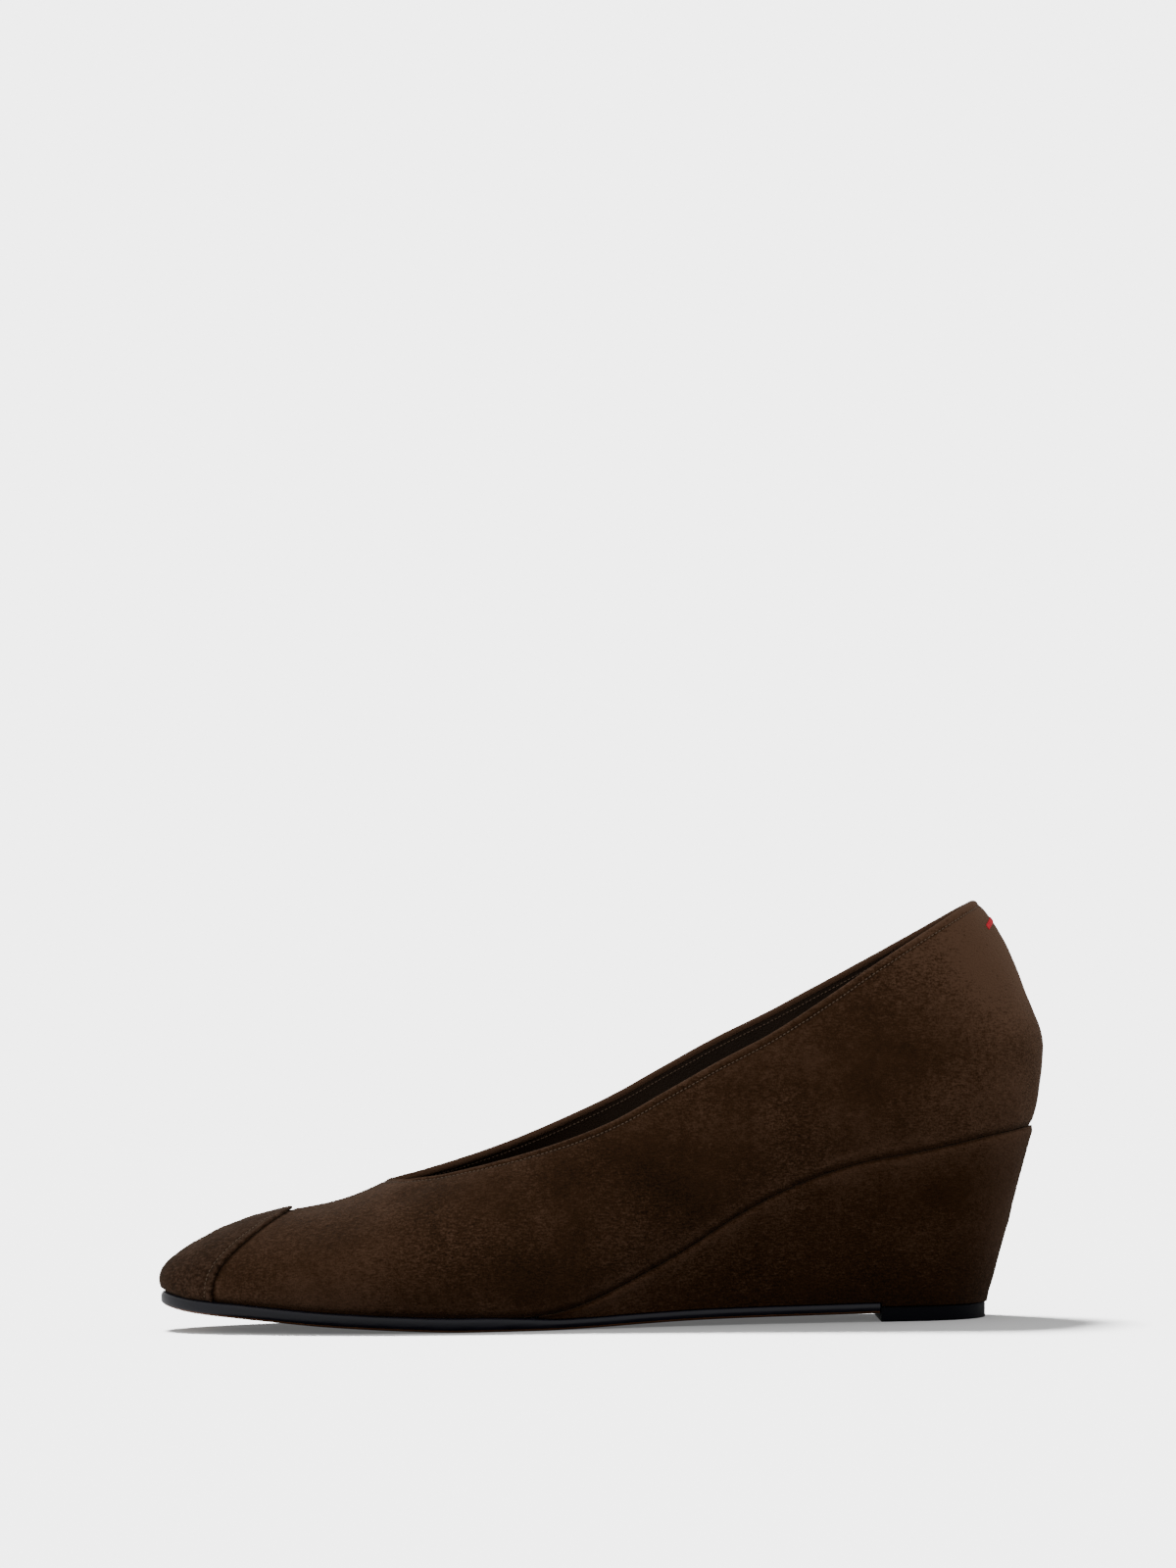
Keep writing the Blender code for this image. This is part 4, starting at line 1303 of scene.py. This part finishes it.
def edge_points(corner, inward, low, high, profile):
    """A plate's rounded edge at one place, from its top down to its foot."""
    points = []
    for inset, share, shift in profile:
        x, y = corner + inward * inset
        points.append((x, y + CENTRE_LINE_Y, low + (high - low) * share + shift))
    return points


def way_across(near, far):
    """The direction in plan from one side to the other, and their distance."""
    width = np.linalg.norm(far - near)
    return (far - near) / width if width > TINY else far - near, width


def edge_ring(left, right, low, high, profile):
    """A closed section through a plate with rounded edges, from the left side's top round to the
    right side's."""
    unit, width = way_across(left, right)
    profile = [(min(inset, width / 4), share, shift) for inset, share, shift in profile]
    ring = edge_points(left, unit, low, high, profile)
    return ring + edge_points(right, -unit, low, high, profile)[::-1]


def ring_faces(count, size):
    """Faces of a solid through closed rings, with both ends closed."""
    faces = []
    for a in range(count - 1):
        for k in range(size):
            j = (k + 1) % size
            faces.append([a * size + k, (a + 1) * size + k, (a + 1) * size + j, a * size + j])
    faces.append(list(range(size)))
    faces.append(list(range((count - 1) * size, count * size))[::-1])
    return faces


def ringed(name, rings, finishes, replaced):
    """A piece through closed rings, with its faces turned outwards."""
    points = np.array([point for ring in rings for point in ring])
    item = piece(name, points, ring_faces(len(rings), len(rings[0])), finishes, replaced, 40)
    mesh = bmesh.new()
    mesh.from_mesh(item.data)
    bmesh.ops.triangulate(mesh, faces=[face for face in mesh.faces if len(face.verts) > 4])
    bmesh.ops.recalc_face_normals(mesh, faces=mesh.faces)
    mesh.to_mesh(item.data)
    mesh.free()
    return item


class WEDGEPUMP_OT_wedge(bpy.types.Operator):
    """Make the suede-covered wedge"""

    bl_idname = "wedge_pump.wedge"
    bl_label = "Covered wedge"

    ROUND = 1.6 * MM
    CLEAR = 0.08 * MM           # under the upper, pressed together
    SIDE_STEPS = 22
    LUMPS = ((17, 21, 1.0), (7, 22, 0.5))
    PAINTED_SHADE_LOW = 0.32            # painted shade low down near the floor, behind the shank
    PAINTED_LIGHT_BACK = 0.28            # painted light at the back
    TUCK_SHADE = 0.3
    FUZZ = 0.06
    TIP_BETWEEN = (0.40, 0.70)  # stations
    STEPS = (90, 8, 41)         # to the top piece, over it and round the heel

    def execute(self, context):
        def height(station):
            return feather_z(station) - 2 * GAP - sole_top(station)

        tip = float(solve(lambda station: height(station) - WEDGE_NOSE, *self.TIP_BETWEEN))
        step = [foot_station(BREAST_X + GAP * share) for share in (1, 2)]
        heel = 1 - HEEL_ROUND / LAST_LENGTH
        front, over, back = self.STEPS
        stations = np.concatenate((
            np.linspace(tip, step[0], front), step[1:], np.linspace(step[1], heel, over)[1:-1],
            heel + (1 - heel) * np.sin(np.linspace(0.0, math.pi / 2, back)),
        ))
        rings = [[] for _ in stations]
        for side in (LATERAL, MEDIAL):
            top = plan(side, stations, feather_outline, WEDGE_PROUD)
            other = plan(-side, stations, feather_outline, WEDGE_PROUD)
            foot = np.stack(foot_outline(side, stations), axis=1)
            for k, station in enumerate(stations):
                on_sole = foot_x(station) <= BREAST_X + 1.5 * GAP
                low = (sole_top(station) if on_sole else TOP_PIECE_HEIGHT) + GAP
                high = float(feather_z(station)) - self.CLEAR
                edge = self.side_edge(top[k], other[k], foot[k], low, high)
                rings[k] += edge if side == LATERAL else edge[::-1]
        finish = finish_named("wedge_nap", suede, tuple(colours().wedge), contrast=0.9)
        item = ringed("wedge_cover", rings, [finish], ["wedge"])
        self.soften(item)
        return {"FINISHED"}

    def side_edge(self, top, other, foot, low, high):
        """One side of a section, from its rounded top edge down to its foot."""
        unit, width = way_across(top, other)
        radius = min(self.ROUND, (high - low) / 3)
        points = []
        for turn in np.linspace(0.0, math.pi / 2, 7):
            inset = min(radius * (1 - math.sin(turn)), width / 4)
            points.append((top + unit * inset, high - radius * (1 - math.cos(turn))))
        for down in np.linspace(0.0, 1.0, self.SIDE_STEPS + 1)[1:]:
            z = high - radius - (high - radius - low) * down
            points.append((top + (foot - top) * down, z))
        return [(p[0], p[1] + CENTRE_LINE_Y, z) for p, z in points]

    def soften(self, item):
        """Adds the cover's slight unevenness and nap, a painted highlight along its top edge,
        painted shade at the tuck and low down, and painted light at the back.
        """
        data = item.data
        count = len(data.vertices)
        points = np.empty(count * 3)
        normals = np.empty(count * 3)
        data.vertices.foreach_get("co", points)
        data.vertex_normals.foreach_get("vector", normals)
        points = points.reshape(-1, 3)
        normals = normals.reshape(-1, 3)
        under = -above_feather(points)
        on_side = ease(np.abs(normals[:, 2]), 0.8, 0.3)
        relief = sizes().lump * uneven(points, self.LUMPS) + MM * bands(under, WEDGE_RELIEF)
        points = points + normals * (relief * on_side)[:, None]
        data.vertices.foreach_set("co", points.ravel())
        data.update()
        x = points[:, 0]
        # painted highlight along the top edge, painted shade at the tuck and low down, painted
        # light at the back
        nap_and_painted_light = bands(under, WEDGE_TOP_HIGHLIGHT) - self.TUCK_SHADE * fade(under, *TUCK)
        nap_and_painted_light -= self.PAINTED_SHADE_LOW * fade(points[:, 2], 3 * MM, 26 * MM) * ease(x, 0.0, 50 * MM)
        nap_and_painted_light += self.PAINTED_LIGHT_BACK * ease(x, 90 * MM, 118 * MM)
        for name, values in (("nap_and_painted_light", nap_and_painted_light), ("fuzz", np.full(count, self.FUZZ))):
            attribute = data.attributes.new(name, "FLOAT", "POINT")
            attribute.data.foreach_set("value", values.astype(np.float32))


class WEDGEPUMP_OT_sole(bpy.types.Operator):
    """Make the outsole with its painted edge and leather bottom, and the rubber top piece"""

    bl_idname = "wedge_pump.sole"
    bl_label = "Outsole and top piece"

    FLAT_FROM = 0.345           # station where the sole reaches the floor
    STEPS = (56, 12, 50)        # to there, to the wedge's tip and to the top piece
    TOP_PIECE_STEPS = 60
    PRESSED = 0.2 * MM          # into the gap over the solid sole
    SOLE_ROUNDS = (1.25 * MM, 1.5 * MM)
    TOP_PIECE_ROUNDS = (0.25 * MM, 0.35 * MM)
    UNDERSIDE = -0.6            # normals below this are leather, and the others edge paint

    def execute(self, context):
        self.add_sole()
        self.add_top_piece()
        return {"FINISHED"}

    def add_sole(self):
        end = foot_station(BREAST_X)
        toe, ball, shank = self.STEPS
        stations = np.concatenate((
            self.FLAT_FROM * (1 - np.cos(np.linspace(0.0, math.pi / 2, toe)[:-1])),
            np.linspace(self.FLAT_FROM, WEDGE_TIP, ball, endpoint=False),
            np.linspace(WEDGE_TIP, end, shank),
        ))
        margin = SOLE_MARGIN + (SHANK_MARGIN - SOLE_MARGIN) * past_tip(stations)
        lines = []
        for side in (LATERAL, MEDIAL):
            x, y = sole_outline(side, stations)
            line = np.stack((x, y), axis=1)
            outward = offset_line(line, side) - line
            line = line + outward * margin[:, None]
            line[-1, 0] = BREAST_X
            lines.append((line, outward))
        low = sole_low(stations)
        high = low + sole_thickness(stations) + self.PRESSED
        profile = round_profile(*self.SOLE_ROUNDS)
        rings = [[] for _ in stations]
        for line, outward in lines:
            for k, ring in enumerate(rings):
                edge = edge_points(line[k], -outward[k], low[k], high[k], profile)
                ring += edge[::-1] if ring else edge
        paint_finish = finish_named("edge_paint", painted_edge, tuple(colours().edge))
        bottom = finish_named(
            "sole_leather", leather, tuple(colours().bottom), roughness=0.5, grain=900,
            depth=0.12 * MM)
        item = ringed("sole", rings, [paint_finish, bottom], ["outsole"])
        for face in item.data.polygons:
            station = np.clip((face.center.x - FEATHER_FRONT) / LAST_LENGTH, 0.0, 1.0)
            if face.normal.z < self.UNDERSIDE and face.center.z < sole_low(station) + 1 * MM:
                face.material_index = 1

    def add_top_piece(self):
        first = foot_station(BREAST_X + GAP)
        turns = np.linspace(0.0, math.pi / 2, self.TOP_PIECE_STEPS)
        stations = first + (1 - first) * np.sin(turns)
        lines = [plan(side, stations, foot_outline, -TOP_PIECE_INSET) for side in (LATERAL, MEDIAL)]
        for line in lines:
            line[0, 0] = BREAST_X + GAP
        profile = round_profile(*self.TOP_PIECE_ROUNDS)
        rings = [edge_ring(a, b, 0.0, TOP_PIECE_HEIGHT, profile) for a, b in zip(*lines)]
        finish = finish_named(
            "moulded_rubber", leather, tuple(colours().rubber), roughness=0.55, grain=2600,
            depth=0.05 * MM, specular=0.1)
        ringed("top_piece_rubber", rings, [finish], ["top_piece"])


class WEDGEPUMP_OT_sock(bpy.types.Operator):
    """Make the leather-covered insole, with its slightly hollowed seat"""

    bl_idname = "wedge_pump.sock"
    bl_label = "Insole sock"

    HOLLOW = 0.5 * MM
    NARROW = 20 * MM            # across, where the hollow starts to fade
    ACROSS = 14
    STEPS = 161
    ROUNDS = (0.45 * MM, 0.2 * MM, 3)

    def execute(self, context):
        stations = (1 - np.cos(np.linspace(0.0, math.pi, self.STEPS))) / 2
        lines = [plan(side, stations, feather_outline, -WALL - GAP) for side in (LATERAL, MEDIAL)]
        rings = []
        for station, left, right in zip(stations, *lines):
            low = float(feather_z(station))
            high = low + INSOLE_THICKNESS
            ring = edge_ring(left, right, low, high, round_profile(*self.ROUNDS))
            a, b = np.array(ring[-1]), np.array(ring[0])
            wide = min(1.0, np.linalg.norm(b - a) / self.NARROW)
            for share in np.linspace(0.0, 1.0, self.ACROSS + 2)[1:-1]:
                point = a + (b - a) * share
                point[2] -= self.HOLLOW * wide * math.sin(math.pi * share) ** 0.7
                ring.append(tuple(point))
            rings.append(ring)
        finish = finish_named(
            "sock_leather", leather, tuple(colours().sock), roughness=0.5, grain=1300,
            depth=0.10 * MM)
        ringed("insole_sock", rings, [finish], ["insole"])
        return {"FINISHED"}


class WEDGEPUMP_OT_nap(bpy.types.Operator):
    """Grow the loose hairs of the nap on the suede pieces"""

    bl_idname = "wedge_pump.nap"
    bl_label = "Nap hairs"

    WIDTH = 0.05 * MM
    PIECES = (
        ("upper_suede", "upper_nap", "brown_suede"),
        ("toe_cap_suede", "toe_cap_nap", "toe_cap_suede"),
        ("wedge_cover", "wedge_nap", "wedge_suede"),
    )

    def execute(self, context):
        size = sizes()
        for number, (name, finish, slot) in enumerate(self.PIECES):
            values = {
                "Density": size.hair_count / MM ** 2, "Length": size.hair, "Width": self.WIDTH,
                "Seed": size.seed + number,
            }
            carrier = bpy.data.objects[name]
            grown(name + "_nap", carrier, hair_tree, values, bpy.data.materials[finish])
        return {"FINISHED"}


class WEDGEPUMP_OT_stage(bpy.types.Operator):
    """Set the pale floor and backdrop, the soft light and the camera"""

    bl_idname = "wedge_pump.stage"
    bl_label = "Floor, light and camera"

    PALE = 4.66                 # brightness of the floor and the backdrop
    SKY = 0.80                  # soft light on the shoe from all round
    SKY_ON_FLOOR = 0.42         # share of it that shows on the floor
    FRONT = 0.95                # share of it that comes from the camera's side
    FRONT_FADE = (-0.9, 0.1)    # from there to the back, along the line of sight
    SHADE = (0.17, 0.15)        # half length and half width of the dark floor by the shoe
    SHADE_X = 0.055             # its middle, nearer to the heel
    SHADE_UNDER = 1 * MM        # below the pale floor
    SHADE_COLOUR = (0.02, 0.02, 0.02)
    KEY = 0.15                  # lamp on the shoe, from above and behind on the toe's side
    KEY_FROM = (-0.55, 0.35, 1.0)
    KEY_SIZE = 50               # degrees across, for soft shadows
    WASH_FROM = (-0.20, 0.60, 1.0)
    WASHES = (("floor_wash", 0.97, 12), ("floor_fill", 0.03, 120))
    BOUNCE = 0.12               # light that reaches the floor under the shoe
    FLOOR = 6.0                 # metres across
    FLOOR_FADE = (0.25, 0.48)   # shares of it, from its middle
    DOME = 5.0                  # radius of the backdrop
    EYE = (2.4 * MM, -1597.5 * MM, 85.0 * MM)
    LOOK = (-1.739 * MM, 2.5 * MM, 151.607 * MM)
    ROLL = -0.995               # degrees
    LENS = 130.161
    SENSOR = 36.0
    CLIP = (0.05, 50.0)

    def execute(self, context):
        scene = context.scene
        self.add_sky(scene)
        self.add_backdrop()
        self.add_shade()
        floor = self.add_floor()
        self.add_sun("key", self.KEY, self.KEY_FROM, self.KEY_SIZE)
        lit = bpy.data.collections.new("lit_by_wash")
        lit.objects.link(floor)
        share = tuple(colours().floor)[0] * Vector(self.WASH_FROM).normalized().z / math.pi
        wanted = self.PALE - self.BOUNCE - self.SKY_ON_FLOOR * self.SKY
        for name, part, size in self.WASHES:
            wash = self.add_sun(name, part * wanted / share, self.WASH_FROM, size)
            wash.light_linking.receiver_collection = lit
        self.add_camera(scene)
        return {"FINISHED"}

    def add_sky(self, scene):
        """Soft light all round, a little weaker from the camera's side."""
        world = scene.world or bpy.data.worlds.new("studio")
        scene.world = world
        world.use_nodes = True
        graph = Graph(world.node_tree)
        way = graph.add("ShaderNodeTexCoord").outputs["Generated"]
        depth = graph.add("ShaderNodeSeparateXYZ", {0: way}).outputs[1]
        near, far = self.FRONT_FADE
        light = graph.add("ShaderNodeMapRange", {
            "Value": depth, "From Min": near, "From Max": far, "To Min": self.FRONT * self.SKY,
            "To Max": self.SKY}, interpolation_type="SMOOTHSTEP").outputs[0]
        background = world.node_tree.nodes["Background"]
        background.inputs["Color"].default_value = (1.0, 1.0, 1.0, 1.0)
        world.node_tree.links.new(light, background.inputs["Strength"])

    def add_sun(self, name, energy, way, size):
        light = bpy.data.lights.new(name, "SUN")
        light.energy = energy
        light.angle = math.radians(size)
        lamp = placed(name, light)
        lamp.rotation_mode = "QUATERNION"
        lamp.rotation_quaternion = Vector(way).to_track_quat("Z", "Y")
        return lamp

    def add_stage_mesh(self, name, mesh, finish):
        """A part of the stage that the camera sees and that throws no light on the shoe."""
        data = bpy.data.meshes.new(name)
        mesh.to_mesh(data)
        mesh.free()
        data.materials.append(finish)
        item = placed(name, data)
        item.visible_diffuse = False
        item.visible_glossy = False
        return item

    def add_backdrop(self):
        """A plain dome in the floor's own brightness."""
        mesh = bmesh.new()
        bmesh.ops.create_uvsphere(mesh, u_segments=48, v_segments=24, radius=self.DOME)
        bmesh.ops.reverse_faces(mesh, faces=mesh.faces)
        finish = bpy.data.materials.new("backdrop_paper")
        finish.use_nodes = True
        graph = Graph(finish.node_tree)
        glow = graph.add("ShaderNodeEmission", {"Color": rgba((1, 1, 1)), "Strength": self.PALE})
        output = finish.node_tree.nodes["Material Output"]
        finish.node_tree.links.new(glow.outputs[0], output.inputs["Surface"])
        dome = self.add_stage_mesh("backdrop", mesh, finish)
        dome.visible_shadow = False
        dome.visible_transmission = False

    def add_shade(self):
        """The floor next to the shoe, under the pale one, as dark as the shoe leaves it.

        The camera never sees it: it only keeps light off the shoe's low parts."""
        mesh = bmesh.new()
        size = Matrix.Diagonal((*self.SHADE, 1.0, 1.0))
        bmesh.ops.create_circle(
            mesh, cap_ends=True, segments=64, radius=1.0,
            matrix=Matrix.Translation((self.SHADE_X, 0, -self.SHADE_UNDER)) @ size)
        finish, shader, _, _ = new_finish("floor_shade", roughness=1.0, specular=0.0)
        shader.inputs["Base Color"].default_value = rgba(self.SHADE_COLOUR)
        shade = self.add_stage_mesh("floor_shade", mesh, finish)
        shade.visible_diffuse = True
        shade.visible_glossy = True
        shade.visible_camera = False

    def add_floor(self):
        """A flat floor that fades into the backdrop at its edge."""
        mesh = bmesh.new()
        bmesh.ops.create_circle(mesh, cap_ends=True, segments=96, radius=self.FLOOR / 2)
        finish, shader, graph, place = new_finish("floor_paper", roughness=1.0, specular=0.0)
        shader.inputs["Base Color"].default_value = rgba(colours().floor)
        shader.inputs["Emission Color"].default_value = rgba((1, 1, 1))
        shader.inputs["Emission Strength"].default_value = self.BOUNCE
        far = graph.add("ShaderNodeVectorMath", {0: place}, operation="LENGTH").outputs["Value"]
        start, end = self.FLOOR_FADE
        solid = graph.add("ShaderNodeMapRange", {
            "Value": far, "From Min": start * self.FLOOR, "From Max": end * self.FLOOR,
            "To Min": 1.0, "To Max": 0.0}).outputs[0]
        graph.tree.links.new(solid, shader.inputs["Alpha"])
        return self.add_stage_mesh("floor", mesh, finish)

    def add_camera(self, scene):
        camera = bpy.data.cameras.new("camera")
        camera.lens = self.LENS
        camera.sensor_width = self.SENSOR
        camera.clip_start, camera.clip_end = self.CLIP
        eye = placed("camera", camera)
        forward = (Vector(self.LOOK) - Vector(self.EYE)).normalized()
        right = forward.cross(Vector((0, 0, 1))).normalized()
        up = right.cross(forward)
        roll = math.radians(self.ROLL)
        x = right * math.cos(roll) + up * math.sin(roll)
        y = up * math.cos(roll) - right * math.sin(roll)
        turn = Matrix((x, y, -forward)).transposed().to_4x4()
        eye.matrix_world = Matrix.Translation(self.EYE) @ turn
        scene.camera = eye


OPERATORS = (
    WEDGEPUMP_OT_upper, WEDGEPUMP_OT_toe_cap, WEDGEPUMP_OT_wedge, WEDGEPUMP_OT_sole,
    WEDGEPUMP_OT_sock, WEDGEPUMP_OT_stitches, WEDGEPUMP_OT_bar_tack, WEDGEPUMP_OT_nap,
    WEDGEPUMP_OT_stage,
)


class WEDGEPUMP_PT_pieces(bpy.types.Panel):
    """Lists the pieces of the finish and their sizes"""

    bl_idname = "WEDGEPUMP_PT_pieces"
    bl_label = "Wedge pump"
    bl_space_type = "VIEW_3D"
    bl_region_type = "UI"
    bl_category = "Wedge pump"

    def draw(self, context):
        layout = self.layout
        for operator in OPERATORS:
            layout.operator(operator.bl_idname)
        for group in (context.scene.pump_sizes, context.scene.pump_colours):
            column = layout.column()
            for name in group.bl_rna.properties.keys():
                if name not in ("rna_type", "name"):
                    column.prop(group, name)


CLASSES = (PumpSizes, PumpColours, *OPERATORS, WEDGEPUMP_PT_pieces)


def register():
    for item in CLASSES:
        bpy.utils.register_class(item)
    bpy.types.Scene.pump_sizes = PointerProperty(type=PumpSizes)
    bpy.types.Scene.pump_colours = PointerProperty(type=PumpColours)


def unregister():
    del bpy.types.Scene.pump_colours
    del bpy.types.Scene.pump_sizes
    for item in reversed(CLASSES):
        bpy.utils.unregister_class(item)


def main():
    register()
    bpy.ops.wedge_pump.upper()
    bpy.ops.wedge_pump.toe_cap()
    bpy.ops.wedge_pump.wedge()
    bpy.ops.wedge_pump.sole()
    bpy.ops.wedge_pump.sock()
    bpy.ops.wedge_pump.stitches()
    bpy.ops.wedge_pump.bar_tack()
    bpy.ops.wedge_pump.nap()
    bpy.ops.wedge_pump.stage()


if __name__ == "__main__":
    main()
